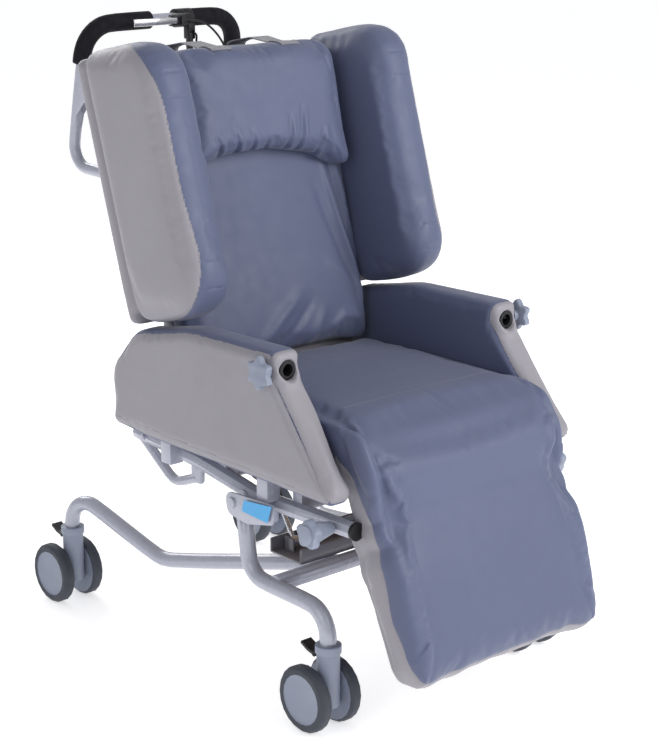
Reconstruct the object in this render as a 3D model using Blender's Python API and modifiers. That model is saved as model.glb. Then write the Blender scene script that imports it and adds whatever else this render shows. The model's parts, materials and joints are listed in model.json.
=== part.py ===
"""Patient recliner chair: tilt-in-space seat, reclining winged back and lifting leg rest on a castor base.

Metres, +Z up. The sitter faces -Y and the sitter's right is -X. The floor is Z = 0. Pairs are
built by a loop over SIDES, with the suffix _r on the sitter's right and _l on the left.
"""

from math import cos, pi, radians, sin, tan

import bmesh
import bpy
from mathutils import Matrix, Vector

# ---- Driving dimensions ---------------------------------------------------------------------

GAP = 0.0003
SIDES = (("r", -1.0), ("l", 1.0))
# The chair is modelled from its tilt region outwards, then moved so that its footprint is centred.
FRAME_SHIFT_Y = -0.0459

# Base
BASE_X = 0.267
BASE_TUBE_R = 0.016
CASTOR_TOP_Z = 0.1645
FRONT_CASTOR_Y = -0.301
REAR_CASTOR_Y = 0.508
CROSS_TUBE_Y = -0.155
CROSS_TUBE_Z = 0.235
TILT_AXIS = (-0.058, 0.371)

# Castors
WHEEL_R = 0.0625
WHEEL_THICK = 0.025
WHEEL_OUTER_X = 0.0475
CASTOR_TRAIL = 0.022
HOOD_R = 0.0212
AXLE_R = 0.006

# Seat
RAIL_X = 0.245
RAIL_R = 0.016
SEAT_HALF = 0.236
SEAT_BASE_Z = 0.441
SEAT_TOP_Z = 0.562
ARM_INNER_X = 0.244
ARM_OUTER_X = 0.307
SOCKET = (0.276, -0.205, 0.651)
STAR_KNOB_X = (0.3185, 0.3325)
SOCKET_BORE_R = 0.011

# Leg rest
LEG_AXIS = (-0.305, 0.385)
LEG_LEAN = radians(27.2)
LEG_HALF = 0.2265
LEG_FRONT = 0.094
LEG_BACK = -0.010
LEG_LENGTH = 0.320

# Back
BACK_AXIS = (0.255, 0.418)
BACK_SLOPE = 0.3115
UPRIGHT_X = 0.190
UPRIGHT_R = 0.0125
SHELL_THICK = 0.031
WING_INNER_X = 0.234
WING_OUTER_X = 0.312
HANDLE_Y = 0.512
HANDLE_TOP_Z = 1.194
HANDLE_FOOT = (0.575, 0.905)
HANDLE_BEND = 0.062
HANDLE_STUB_Z = 1.060
GRIP_R = 0.0195
GRIP_INNER_ENDS = {"r": 0.036, "l": 0.0695}
GRIP_LOW_Z = 1.118

# Levers on the push handle
TILT_LEVER_AT = (-0.004, 0.468, 1.194)
TILT_CLAMP_X = 0.0385
RECLINE_LEVER_AT = (0.0585, 0.500, 1.160)
CLAMP_HALF = 0.0095
CLAMP_R = 0.0190
LEVER_PIN_R = 0.0025

# Struts: pivot points (Y, Z) and side positions
TILT_STRUT_X = -0.160
TILT_STRUT_FOOT = (-0.083, 0.2705)
TILT_STRUT_HEAD = (0.0033, 0.4048)
RECLINE_STRUT_X = 0.060
RECLINE_STRUT_FRONT = (-0.192, 0.3596)
RECLINE_STRUT_REAR = (0.273, 0.361)
STRUT_TUBE_R = 0.011
STRUT_ROD_R = 0.0045
STRUT_PIN_R = 0.004
# The rods' eyes have room for the arcs that the opened links would take up.
ROD_EYE_BORE_R = 0.0072


# ---- Scene and collections ------------------------------------------------------------------

for old in list(bpy.data.objects):
    bpy.data.objects.remove(old, do_unlink=True)

PARTS = bpy.data.collections.new("patient_recliner_chair")
CUTTERS = bpy.data.collections.new("cutters")
bpy.context.scene.collection.children.link(PARTS)
bpy.context.scene.collection.children.link(CUTTERS)
CUTTERS.hide_render = True


def material(name, colour, roughness, metallic=0.0):
    made = bpy.data.materials.new(name)
    made.use_nodes = True
    shader = made.node_tree.nodes["Principled BSDF"]
    shader.inputs["Base Color"].default_value = (*colour, 1.0)
    shader.inputs["Roughness"].default_value = roughness
    shader.inputs["Metallic"].default_value = metallic
    made.diffuse_color = (*colour, 1.0)
    return made


BLUE_VINYL = material("blue_vinyl", (0.13, 0.16, 0.27), 0.45)
GREY_VINYL = material("grey_vinyl", (0.32, 0.31, 0.33), 0.5)
SILVER_PAINT = material("silver_paint", (0.58, 0.59, 0.68), 0.3, 0.2)
GREY_PLASTIC = material("grey_plastic", (0.42, 0.46, 0.53), 0.4)
DARK_TYRE = material("dark_tyre", (0.10, 0.11, 0.14), 0.6)
BLACK_PLASTIC = material("black_plastic", (0.015, 0.015, 0.017), 0.4)
BLACK_FOAM = material("black_foam", (0.01, 0.01, 0.013), 0.8)
STEEL = material("steel", (0.6, 0.6, 0.62), 0.25, 1.0)
PLYWOOD = material("plywood", (0.45, 0.31, 0.17), 0.7)
WEBBING = material("grey_webbing", (0.28, 0.28, 0.31), 0.7)
DARK_STEEL = material("dark_steel", (0.20, 0.19, 0.22), 0.45, 0.4)


# ---- Body empties: each stands on its joint's axis ------------------------------------------


def empty(name, at, parent=None):
    made = bpy.data.objects.new(name, None)
    made.empty_display_size = 0.03
    made.location = at
    PARTS.objects.link(made)
    if parent is not None:
        made.parent = parent
        made.matrix_parent_inverse = world_of(parent).inverted()
    return made


def world_of(obj):
    bpy.context.view_layer.update()
    return obj.matrix_world.copy()


CHAIR = empty("chair", (0, 0, 0))
SEAT = empty("seat_tilt_axis", (0, *TILT_AXIS), CHAIR)
BACK = empty("back_recline_axis", (0, *BACK_AXIS), SEAT)
LEG = empty("leg_lift_axis", (0, *LEG_AXIS), SEAT)


# ---- Shape helpers --------------------------------------------------------------------------


def place(obj, body, mat):
    """Files a finished shape under its body's empty and gives it its material."""
    for holder in list(obj.users_collection):
        holder.objects.unlink(obj)
    PARTS.objects.link(obj)
    obj.data.materials.clear()
    obj.data.materials.append(mat)
    obj.data.shade_smooth()
    obj.data.set_sharp_from_angle(angle=radians(38))
    obj.parent = body
    obj.matrix_parent_inverse = world_of(body).inverted()
    return obj


def tool(obj):
    """Files a shape that only cuts or joins another."""
    for holder in list(obj.users_collection):
        holder.objects.unlink(obj)
    CUTTERS.objects.link(obj)
    obj.hide_render = True
    obj.display_type = "WIRE"
    obj.parent = CHAIR
    return obj


def combine(obj, others, operation):
    """Joins others to obj, or cuts them from it, one Boolean each."""
    for other in others:
        change = obj.modifiers.new(operation.lower(), "BOOLEAN")
        change.operation = operation
        change.solver = "EXACT"
        change.object = tool(other)
    return obj


def join(obj, *others):
    return combine(obj, others, "UNION")


def cut(obj, *others):
    return combine(obj, others, "DIFFERENCE")


def rounded(points, radius, closed=False, step=radians(20)):
    """The polyline or outline through points, with each corner turned into an arc of its radius."""
    points = [Vector(p) for p in points]
    count = len(points)
    radii = radius if isinstance(radius, (list, tuple)) else [radius] * count
    path = []
    for i, corner in enumerate(points):
        if not closed and i in (0, count - 1):
            path.append(corner)
            continue
        before = (points[i - 1] - corner).normalized()
        after = (points[(i + 1) % count] - corner).normalized()
        turn = pi - before.angle(after)
        if turn < radians(1) or radii[i] == 0:
            path.append(corner)
            continue
        reach = radii[i] * tan(turn / 2)
        centre = corner + (before + after).normalized() * (radii[i] / cos(turn / 2))
        start = corner + before * reach - centre
        side = (corner + after * reach - centre) - start * cos(turn)
        side = side.normalized() * radii[i]
        steps = max(2, round(turn / step))
        for k in range(steps + 1):
            angle = turn * k / steps
            path.append(centre + start * cos(angle) + side * sin(angle))
    return path


def curve_mesh(name, curve):
    """The curve's solid as a mesh object, with its caps welded on."""
    obj = bpy.data.objects.new(name, curve)
    PARTS.objects.link(obj)
    bpy.context.view_layer.update()
    graph = bpy.context.evaluated_depsgraph_get()
    mesh = bpy.data.meshes.new_from_object(obj.evaluated_get(graph))
    shape = bmesh.new()
    shape.from_mesh(mesh)
    bmesh.ops.remove_doubles(shape, verts=shape.verts, dist=0.00001)
    bmesh.ops.recalc_face_normals(shape, faces=shape.faces)
    shape.to_mesh(mesh)
    shape.free()
    bpy.data.objects.remove(obj)
    solid = bpy.data.objects.new(name, mesh)
    PARTS.objects.link(solid)
    return solid


def tube(name, path, radius, fineness=2):
    """A round bar along path."""
    curve = bpy.data.curves.new(name, "CURVE")
    curve.dimensions = "3D"
    curve.bevel_depth = radius
    curve.bevel_resolution = fineness
    curve.use_fill_caps = True
    spline = curve.splines.new("POLY")
    spline.points.add(len(path) - 1)
    for point, at in zip(spline.points, path):
        point.co = (*at, 1.0)
    return curve_mesh(name, curve)


def slab(name, outline, low, high, edge=0.0, along="X"):
    """A flat outline given thickness from low to high, with its edges rounded by edge.

    Along X the outline is in (Y, Z); along Z it is in (X, Y); along Y it is in (Z, X).
    """
    curve = bpy.data.curves.new(name, "CURVE")
    curve.dimensions = "2D"
    curve.fill_mode = "BOTH"
    curve.extrude = (high - low) / 2 - edge
    curve.bevel_depth = edge
    curve.bevel_resolution = 1
    curve.offset = -edge
    spline = curve.splines.new("POLY")
    spline.use_cyclic_u = True
    spline.points.add(len(outline) - 1)
    for point, at in zip(spline.points, outline):
        point.co = (at[0], at[1], 0.0, 1.0)
    solid = curve_mesh(name, curve)
    middle = (low + high) / 2
    to_world = {
        "X": Matrix(((0, 0, 1, middle), (1, 0, 0, 0), (0, 1, 0, 0), (0, 0, 0, 1))),
        "Y": Matrix(((0, 1, 0, 0), (0, 0, 1, middle), (1, 0, 0, 0), (0, 0, 0, 1))),
        "Z": Matrix.Translation((0, 0, middle)),
    }[along]
    solid.data.transform(to_world)
    return solid


def box(name, low, high, edge=0.0, segments=2):
    """A block between two corners, with rounded edges."""
    low, high = Vector(low), Vector(high)
    size = high - low
    bpy.ops.mesh.primitive_cube_add(size=1, location=(low + high) / 2)
    obj = bpy.context.active_object
    obj.name = obj.data.name = name
    obj.data.transform(Matrix.Diagonal((*size, 1.0)))
    if edge:
        bevel = obj.modifiers.new("rounded_edges", "BEVEL")
        bevel.width = edge
        bevel.segments = segments
        bevel.limit_method = "ANGLE"
    return obj


def rod(name, start, end, radius, sides=16):
    """A straight cylinder from start to end."""
    start, end = Vector(start), Vector(end)
    run = end - start
    bpy.ops.mesh.primitive_cylinder_add(vertices=sides, radius=radius, depth=run.length)
    obj = bpy.context.active_object
    obj.name = obj.data.name = name
    turn = run.to_track_quat("Z", "Y").to_matrix().to_4x4()
    obj.matrix_world = Matrix.Translation((start + end) / 2) @ turn
    return obj


def cross_rod(name, x_low, x_high, at, radius, sides=16):
    """A cylinder along X through at = (Y, Z)."""
    return rod(name, (x_low, *at), (x_high, *at), radius, sides)


def turned(name, profile, at, steps=20):
    """A solid of revolution about an axis along X; profile is (radius, distance), far end first."""
    mesh = bpy.data.meshes.new(name)
    points = [(r, 0.0, z) for r, z in profile]
    mesh.from_pydata(points, [(i, i + 1) for i in range(len(points) - 1)], [])
    obj = bpy.data.objects.new(name, mesh)
    PARTS.objects.link(obj)
    obj.rotation_euler = (0, pi / 2, 0)
    obj.location = at
    spin = obj.modifiers.new("turned", "SCREW")
    spin.angle = 2 * pi
    spin.steps = spin.render_steps = steps
    spin.use_merge_vertices = True
    spin.merge_threshold = 0.00001
    spin.use_normal_calculate = True
    return obj


def ribbon(name, path, x_middle, width, thickness):
    """A flat band across X that follows path in (Y, Z), thickened on its outer side."""
    mesh = bpy.data.meshes.new(name)
    points = [(x_middle + side * width / 2, *at) for at in path for side in (-1, 1)]
    faces = [(2 * i, 2 * i + 2, 2 * i + 3, 2 * i + 1) for i in range(len(path) - 1)]
    mesh.from_pydata(points, [], faces)
    obj = bpy.data.objects.new(name, mesh)
    PARTS.objects.link(obj)
    thick = obj.modifiers.new("thickness", "SOLIDIFY")
    thick.thickness = thickness
    thick.offset = -1
    return obj


# ---- Lines that several parts share ---------------------------------------------------------


def shell_front(z, behind=0.0):
    """Y of the back shell's front plane at height z, moved back by behind."""
    return 0.243 + (z - 0.799) * BACK_SLOPE + behind * (1 + BACK_SLOPE**2) ** 0.5


def leg_point(along, out):
    """(Y, Z) of a point given down the leg rest from its axis and out from its rear plane."""
    down = Vector((-sin(LEG_LEAN), -cos(LEG_LEAN)))
    front = Vector((-cos(LEG_LEAN), sin(LEG_LEAN)))
    return tuple(Vector(LEG_AXIS) + down * along + front * out)


# ---- Base -----------------------------------------------------------------------------------


def rear_leg_path(side):
    """Straight in plan, from the rear castor to the cross tube, dipping under the seat."""
    start = Vector((side * BASE_X, REAR_CASTOR_Y, 0))
    end = Vector((side * 0.105, CROSS_TUBE_Y, 0))
    run = end - start
    stations = ((0.0, CASTOR_TOP_Z + GAP), (0.0, 0.250), (0.36, 0.140), (1.0, CROSS_TUBE_Z))
    points = [start + run * t + Vector((0, 0, z)) for t, z in stations]
    return rounded(points, [0, 0.048, 0.085, 0])


def front_tube_path(side):
    """From the front castor up, back and up again to the pivot plate."""
    x = side * BASE_X
    top = TILT_AXIS[1] - 0.026
    return rounded(
        [
            (x, FRONT_CASTOR_Y, CASTOR_TOP_Z + GAP),
            (x, FRONT_CASTOR_Y, 0.229),
            (x, -0.082, 0.229),
            (x, -0.069, top),
        ],
        [0, 0.052, 0.048, 0],
    )


def cross_bar(name, radius, reach):
    return cross_rod(name, -reach, reach, (CROSS_TUBE_Y, CROSS_TUBE_Z), radius, 20)


for tag, side in SIDES:
    front = tube(f"front_tube_{tag}", front_tube_path(side), BASE_TUBE_R, 3)
    place(front, CHAIR, SILVER_PAINT)
    leg = tube(f"rear_leg_{tag}", rear_leg_path(side), BASE_TUBE_R, 3)
    place(cut(leg, cross_bar(f"leg_cope_{tag}", BASE_TUBE_R + GAP, 0.24)), CHAIR, SILVER_PAINT)

cross = cross_bar("cross_tube", BASE_TUBE_R, BASE_X)
copes = [tube(f"cope_{tag}", front_tube_path(side), BASE_TUBE_R + GAP, 3) for tag, side in SIDES]
place(cut(cross, *copes), CHAIR, SILVER_PAINT)

CHANNEL_LOW_Z = CROSS_TUBE_Z + BASE_TUBE_R + GAP
channel = box("strut_channel", (-0.20, -0.150, CHANNEL_LOW_Z), (0.20, -0.058, 0.2815), 0.003)
trough = box("channel_trough", (-0.21, -0.145, CHANNEL_LOW_Z + 0.005), (0.21, -0.063, 0.30))
foot_y, foot_z = TILT_STRUT_FOOT
lug_x = TILT_STRUT_X - 0.009
lug_low, lug_high = (lug_x - 0.005, foot_y - 0.013, 0.2530), (lug_x, foot_y + 0.013, foot_z + 0.011)
lug = box("strut_lug", lug_low, lug_high, 0.002)
foot_pin = cross_rod("strut_foot_pin", lug_x - 0.003, TILT_STRUT_X + 0.009, TILT_STRUT_FOOT, STRUT_PIN_R)
place(join(cut(channel, trough), lug, foot_pin), CHAIR, DARK_STEEL)

PLATE_X = BASE_X + BASE_TUBE_R + GAP
for tag, side in SIDES:
    pivot_y, pivot_z = TILT_AXIS
    outline = rounded(
        [
            (pivot_y + 0.022, pivot_z + 0.018),
            (pivot_y + 0.016, pivot_z - 0.024),
            (-0.100, 0.340),
            (-0.172, 0.357),
            (-0.178, 0.396),
            (-0.095, 0.392),
        ],
        [0.016, 0.018, 0.02, 0.004, 0.004, 0.03],
        closed=True,
    )
    faces = sorted((side * PLATE_X, side * (PLATE_X + 0.004)))
    plate = slab(f"pivot_plate_{tag}", outline, *faces)
    pin_ends = sorted((side * 0.226, side * (PLATE_X + 0.003)))
    pin = cross_rod("tilt_pin", *pin_ends, TILT_AXIS, AXLE_R)
    cap_ends = sorted((side * (PLATE_X + 0.003), side * (PLATE_X + 0.009)))
    cap = cross_rod("tilt_pin_head", *cap_ends, TILT_AXIS, 0.0105)
    place(join(plate, pin, cap), CHAIR, SILVER_PAINT)


# ---- Castors --------------------------------------------------------------------------------

WHEEL_FACE = [
    (0.0, WHEEL_OUTER_X - 0.002),
    (0.0450, WHEEL_OUTER_X - 0.002),
    (0.0475, WHEEL_OUTER_X),
    (0.0575, WHEEL_OUTER_X),
    (WHEEL_R, WHEEL_OUTER_X - 0.0055),
    (WHEEL_R, WHEEL_OUTER_X - WHEEL_THICK + 0.0055),
    (0.0575, WHEEL_OUTER_X - WHEEL_THICK),
    (AXLE_R, WHEEL_OUTER_X - WHEEL_THICK),
]
WHEEL_PAIR = WHEEL_FACE + [(r, -z) for r, z in reversed(WHEEL_FACE)]


def castor(tag, x, y):
    """A swivelling hood, its pair of wheels on one axle, and its brake pedal."""
    swivel = empty(f"castor_swivel_axis_{tag}", (x, y, CASTOR_TOP_Z), CHAIR)
    axle_at = (y + CASTOR_TRAIL, WHEEL_R)
    wheel_axis = empty(f"wheel_axis_{tag}", (x, *axle_at), swivel)
    half = HOOD_R - 0.0006

    hood = rod(f"castor_hood_{tag}", (x, y, 0.048), (x, y, 0.152), HOOD_R, 20)
    collar = rod("collar", (x, y, 0.150), (x, y, CASTOR_TOP_Z), 0.0240, 20)
    boss = cross_rod("axle_boss", x - half, x + half, axle_at, 0.0150)
    web = box("web", (x - 0.012, y, 0.056), (x + 0.012, y + CASTOR_TRAIL, 0.110))
    bore = cross_rod("axle_bore", x - 0.04, x + 0.04, axle_at, AXLE_R + 0.0004)
    place(cut(join(hood, collar, boss, web), bore), swivel, GREY_PLASTIC)

    wheels = turned(f"castor_wheels_{tag}", WHEEL_PAIR, (x, *axle_at))
    place(wheels, wheel_axis, DARK_TYRE)

    hinge_y, hinge_z = y + HOOD_R + 0.0055, 0.140
    pedal_axis = empty(f"pedal_axis_{tag}", (x, hinge_y, hinge_z), swivel)
    knuckle = cross_rod(f"brake_pedal_{tag}", x - 0.012, x + 0.012, (hinge_y, hinge_z), 0.005, 16)
    profile = [
        (hinge_y, hinge_z - 0.003),
        (hinge_y + 0.018, hinge_z + 0.001),
        (hinge_y + 0.036, hinge_z + 0.010),
        (hinge_y + 0.034, hinge_z + 0.015),
        (hinge_y + 0.016, hinge_z + 0.007),
        (hinge_y, hinge_z + 0.003),
    ]
    place(join(knuckle, slab("tread", profile, x - 0.012, x + 0.012)), pedal_axis, BLACK_PLASTIC)


for end, castor_y in (("front", FRONT_CASTOR_Y), ("rear", REAR_CASTOR_Y)):
    for tag, side in SIDES:
        castor(f"{end}_{tag}", side * BASE_X, castor_y)


# ---- Seat frame -----------------------------------------------------------------------------


def rail_path(side):
    x = side * RAIL_X
    points = [(x, -0.345, 0.385), (x, -0.085, 0.379), (x, 0.090, 0.406), (x, 0.290, 0.4195)]
    return rounded(points, [0, 0.25, 0.25, 0], step=radians(5))


def brace_path(side):
    x = side * RAIL_X
    points = [(x, 0.280, 0.412), (x, 0.172, 0.341), (x, 0.100, 0.370)]
    return rounded(points, [0, 0.045, 0])


frame = tube("seat_frame", rail_path(-1.0), RAIL_R)
pieces = [tube("rail_l", rail_path(1.0), RAIL_R)]
pieces.append(box("cross_bar_front", (-RAIL_X, -0.205, 0.383), (RAIL_X, -0.180, 0.4282)))
pieces.append(box("cross_bar_rear", (-RAIL_X, 0.014, 0.388), (RAIL_X, 0.040, 0.4282)))
bores = []
for tag, side in SIDES:
    pieces.append(tube(f"brace_{tag}", brace_path(side), 0.0095))
    inner, outer = sorted((side * 0.237, side * 0.253))
    pieces.append(box(f"brace_bracket_{tag}", (inner, 0.084, 0.358), (outer, 0.116, 0.400), 0.008))
    inner, outer = sorted((side * 0.2295, side * 0.2620))
    pieces.append(cross_rod(f"tilt_boss_{tag}", inner, outer, TILT_AXIS, 0.018))
    for y in (-0.150, 0.140):
        inner, outer = sorted((side * 0.250, side * 0.280))
        pieces.append(box(f"arm_bracket_{tag}", (inner, y, 0.392), (outer, y + 0.030, 0.4395)))
    for axis in (TILT_AXIS, LEG_AXIS, BACK_AXIS):
        inner, outer = sorted((side * 0.20, side * 0.29))
        bores.append(cross_rod(f"pin_bore_{tag}", inner, outer, axis, AXLE_R + 0.0004, 20))

head_y, head_z = TILT_STRUT_HEAD
front_y, front_z = RECLINE_STRUT_FRONT
tilt_ear = ((head_y - 0.010, head_z - 0.010), (0.020, head_z + 0.012))
recline_ear = ((front_y - 0.009, front_z - 0.010), (front_y + 0.009, 0.400))
for name, x, at, (low, high) in (
    ("tilt_strut", TILT_STRUT_X, TILT_STRUT_HEAD, tilt_ear),
    ("recline_strut", RECLINE_STRUT_X, RECLINE_STRUT_FRONT, recline_ear),
):
    pieces.append(box(f"{name}_ear", (x + 0.0135, *low), (x + 0.0185, *high)))
    pieces.append(cross_rod(f"{name}_pin", x - 0.012, x + 0.016, at, STRUT_PIN_R))
place(cut(join(frame, *pieces), *bores), SEAT, SILVER_PAINT)

for tag, side in SIDES:
    end = side * RAIL_X
    plug = rod(f"rail_cap_{tag}", (end, -0.3458, 0.385), (end, -0.353, 0.385), 0.0168, 20)
    place(plug, SEAT, BLACK_PLASTIC)

board = box("seat_board", (-0.222, -0.285, 0.4285), (0.222, 0.222, 0.4405), 0.003)
place(board, SEAT, PLYWOOD)


# ---- Seat cushion and armrests --------------------------------------------------------------

cushion_outline = rounded(
    [
        (LEG_AXIS[0] + 0.003, SEAT_BASE_Z),
        (0.158, SEAT_BASE_Z),
        (0.158, 0.552),
        (-0.02, SEAT_TOP_Z),
        (LEG_AXIS[0] + 0.003, SEAT_TOP_Z),
    ],
    [0.004, 0.02, 0.03, 0.3, 0.0],
    closed=True,
)
cushion = slab("seat_cushion", cushion_outline, -SEAT_HALF, SEAT_HALF, 0.010)
place(cushion, SEAT, BLUE_VINYL)

ARM_OUTLINE = rounded(
    [
        (-0.2085, 0.6905),
        (0.040, 0.6870),
        (0.215, 0.6520),
        (0.2965, 0.5650),
        (0.2965, 0.4480),
        (0.190, 0.4408),
        (-0.347, 0.4402),
        (-0.356, 0.4600),
        (-0.262, 0.5770),
        (-0.202, 0.6520),
    ],
    [0.016, 0.25, 0.08, 0.06, 0.016, 0.3, 0.016, 0.018, 0.25, 0.05],
    closed=True,
)
for tag, side in SIDES:
    faces = sorted((side * ARM_INNER_X, side * ARM_OUTER_X))
    arm = slab(f"armrest_{tag}", ARM_OUTLINE, *faces, 0.014)
    socket_x = side * SOCKET[0]
    mouth_y, socket_z = SOCKET[1:]
    seat_for_tube = rod("tube_seat", (socket_x, -0.30, socket_z), (socket_x, -0.0275, socket_z), 0.0150)
    seat_for_flange = rod("flange_seat", (socket_x, -0.30, socket_z), (socket_x, -0.197, socket_z), 0.0185)
    knob_at = (mouth_y + 0.0170, socket_z)
    stem_way = cross_rod("stem_way", *sorted((socket_x, side * 0.34)), knob_at, 0.0055)
    place(cut(arm, seat_for_tube, seat_for_flange, stem_way), SEAT, GREY_VINYL)

    body = rod(f"tray_socket_{tag}", (socket_x, mouth_y, socket_z), (socket_x, -0.0295, socket_z), 0.0146, 20)
    flange = rod("flange", (socket_x, mouth_y, socket_z), (socket_x, -0.1975, socket_z), 0.0180, 20)
    hollow = rod("hollow", (socket_x, -0.30, socket_z), (socket_x, -0.0395, socket_z), SOCKET_BORE_R, 20)
    thread = cross_rod("thread", *sorted((socket_x, side * 0.300)), knob_at, 0.0045)
    place(cut(join(body, flange), hollow, thread), SEAT, BLACK_PLASTIC)

    knob_axis = empty(f"star_knob_axis_{tag}", (side * STAR_KNOB_X[0], *knob_at), SEAT)
    lobes, star_r = 6, 0.0265
    star = [
        (
            knob_at[0] + (star_r + 0.0048 * cos(lobes * a)) * sin(a),
            knob_at[1] + (star_r + 0.0048 * cos(lobes * a)) * cos(a),
        )
        for a in (2 * pi * k / 30 for k in range(30))
    ]
    knob = slab(f"star_knob_{tag}", star, *sorted(side * x for x in STAR_KNOB_X), 0.003)
    hub = cross_rod("hub", *sorted((side * (ARM_OUTER_X + 0.0006), side * 0.3195)), knob_at, 0.0110)
    stem = cross_rod("stem", *sorted((side * (SOCKET[0] + 0.0118), side * 0.3090)), knob_at, 0.0040)
    place(join(knob, hub, stem), knob_axis, GREY_PLASTIC)


# ---- Leg rest -------------------------------------------------------------------------------


def leg_outline(corners, radii):
    return rounded([leg_point(*c) for c in corners], radii, closed=True)


hinge_bar = cross_rod("legrest_frame", -0.2285, 0.2285, LEG_AXIS, 0.011)
hinge_pin = cross_rod("hinge_pin", -0.2800, 0.2800, LEG_AXIS, AXLE_R)
leg_parts = [hinge_pin]
for tag, side in SIDES:
    faces = sorted((side * 0.150, side * 0.175))
    bar = leg_outline(
        [
            (-0.010, 0.004),
            (-0.010, -0.022),
            (0.262, -0.022),
            (0.262, -0.0105),
            (0.013, -0.0105),
            (0.013, 0.004),
        ],
        [0.008, 0.008, 0.003, 0.003, 0, 0.004],
    )
    leg_parts.append(slab(f"bar_{tag}", bar, *faces))
for along in (0.060, 0.225):
    strip = [(along, -0.0215), (along + 0.030, -0.0215), (along + 0.030, -0.011), (along, -0.011)]
    leg_parts.append(slab("cross_strip", leg_outline(strip, 0), -0.16, 0.16))
place(join(hinge_bar, *leg_parts), LEG, SILVER_PAINT)

pad_outline = leg_outline(
    [
        (0.016, LEG_BACK),
        (0.016, LEG_FRONT),
        (0.130, LEG_FRONT - 0.002),
        (LEG_LENGTH - 0.006, LEG_FRONT - 0.032),
        (LEG_LENGTH, 0.030),
        (LEG_LENGTH - 0.022, LEG_BACK),
    ],
    [0.003, 0.0, 0.5, 0.016, 0.02, 0.014],
)
pad = slab("legrest_pad", pad_outline, -LEG_HALF, LEG_HALF, 0.010)
place(pad, LEG, BLUE_VINYL)

roll_outline = rounded(
    [
        (LEG_AXIS[0] + 0.0022, SEAT_BASE_Z),
        (LEG_AXIS[0] + 0.0022, SEAT_TOP_Z),
        (-0.351, 0.552),
        (-0.384, 0.490),
        leg_point(0.0152, LEG_FRONT),
        leg_point(0.0152, 0.026),
        leg_point(-0.020, 0.020),
    ],
    [0, 0, 0.045, 0.06, 0, 0, 0.01],
    closed=True,
)
roll = slab("knee_roll", roll_outline, -LEG_HALF, LEG_HALF, 0.008)
place(roll, LEG, BLUE_VINYL)

for tag, side in SIDES:
    knob_axis = empty(f"clamp_knob_axis_{tag}", (side * 0.30, *LEG_AXIS), SEAT)
    profile = [
        (0.0, 0.3250),
        (0.018, 0.3250),
        (0.020, 0.3060),
        (0.0165, 0.2900),
        (0.0115, 0.2650),
        (0.0, 0.2650),
    ]
    if side < 0:
        profile = [(r, -d) for r, d in reversed(profile)]
    hub = turned(f"clamp_knob_{tag}", profile, (0, *LEG_AXIS), 16)
    lobed = [
        (
            LEG_AXIS[0] + (0.0245 + 0.0028 * cos(5 * a)) * sin(a),
            LEG_AXIS[1] + (0.0245 + 0.0028 * cos(5 * a)) * cos(a),
        )
        for a in (2 * pi * k / 25 for k in range(25))
    ]
    disc = slab("lobes", lobed, *sorted((side * 0.3060, side * 0.3230)), 0.003)
    socket = cross_rod("pin_socket", *sorted((side * 0.25, side * 0.2812)), LEG_AXIS, AXLE_R + 0.0005)
    place(cut(join(hub, disc), socket), knob_axis, GREY_PLASTIC)


# ---- Back frame, shell and cushions ---------------------------------------------------------


def upright_path(side):
    x = side * UPRIGHT_X
    behind = SHELL_THICK + UPRIGHT_R + 0.001
    return rounded(
        [
            (x, *BACK_AXIS),
            (x, shell_front(0.665, behind), 0.665),
            (x, shell_front(1.130, behind), 1.130),
        ],
        [0, 0.12, 0],
    )


def handle_leg_y(z):
    """Y of the handle's sloping leg at height z."""
    foot_y, foot_z = HANDLE_FOOT
    return HANDLE_Y + (HANDLE_TOP_Z - z) * (foot_y - HANDLE_Y) / (HANDLE_TOP_Z - foot_z)


def handle_path():
    """Up from the right foot, across the top and down to the left foot."""
    foot_y, foot_z = HANDLE_FOOT
    start_y = shell_front(foot_z, SHELL_THICK + 1.6 * UPRIGHT_R)
    half = [(UPRIGHT_X, HANDLE_Y, HANDLE_TOP_Z), (UPRIGHT_X, foot_y, foot_z), (UPRIGHT_X, start_y, foot_z)]
    right = [(-x, y, z) for x, y, z in reversed(half)]
    return rounded(right + half, [0, 0.045, HANDLE_BEND, HANDLE_BEND, 0.045, 0], step=radians(18))


uprights = [tube(f"upright_{tag}", upright_path(side), UPRIGHT_R) for tag, side in SIDES]
hinge_tube = cross_rod("hinge_tube", -0.2285, 0.2285, BACK_AXIS, 0.0125)
hinge_pin = cross_rod("hinge_pin", -0.2640, 0.2640, BACK_AXIS, AXLE_R)
back_parts = [uprights[1], hinge_tube, hinge_pin]
for height in (0.720, 1.030):
    at = (shell_front(height, SHELL_THICK + UPRIGHT_R + 0.001), height)
    back_parts.append(cross_rod("cross_member", -UPRIGHT_X, UPRIGHT_X, at, 0.0095))
rear_y, rear_z = RECLINE_STRUT_REAR
lever_outline = rounded(
    [
        (BACK_AXIS[0] - 0.010, BACK_AXIS[1]),
        (rear_y - 0.013, rear_z - 0.004),
        (rear_y + 0.002, rear_z - 0.013),
        (rear_y + 0.013, rear_z + 0.003),
        (BACK_AXIS[0] + 0.011, BACK_AXIS[1]),
    ],
    [0, 0.010, 0.010, 0.010, 0],
    closed=True,
)
lever_x = RECLINE_STRUT_X + 0.0095
back_parts.append(slab("recline_lever_arm", lever_outline, lever_x, lever_x + 0.005))
pin_low = RECLINE_STRUT_X - 0.009
back_parts.append(cross_rod("lever_pin", pin_low, lever_x + 0.002, RECLINE_STRUT_REAR, 0.0035))
back_frame = join(uprights[0], *back_parts)
back_frame.name = back_frame.data.name = "back_frame"
place(back_frame, BACK, SILVER_PAINT)

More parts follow.
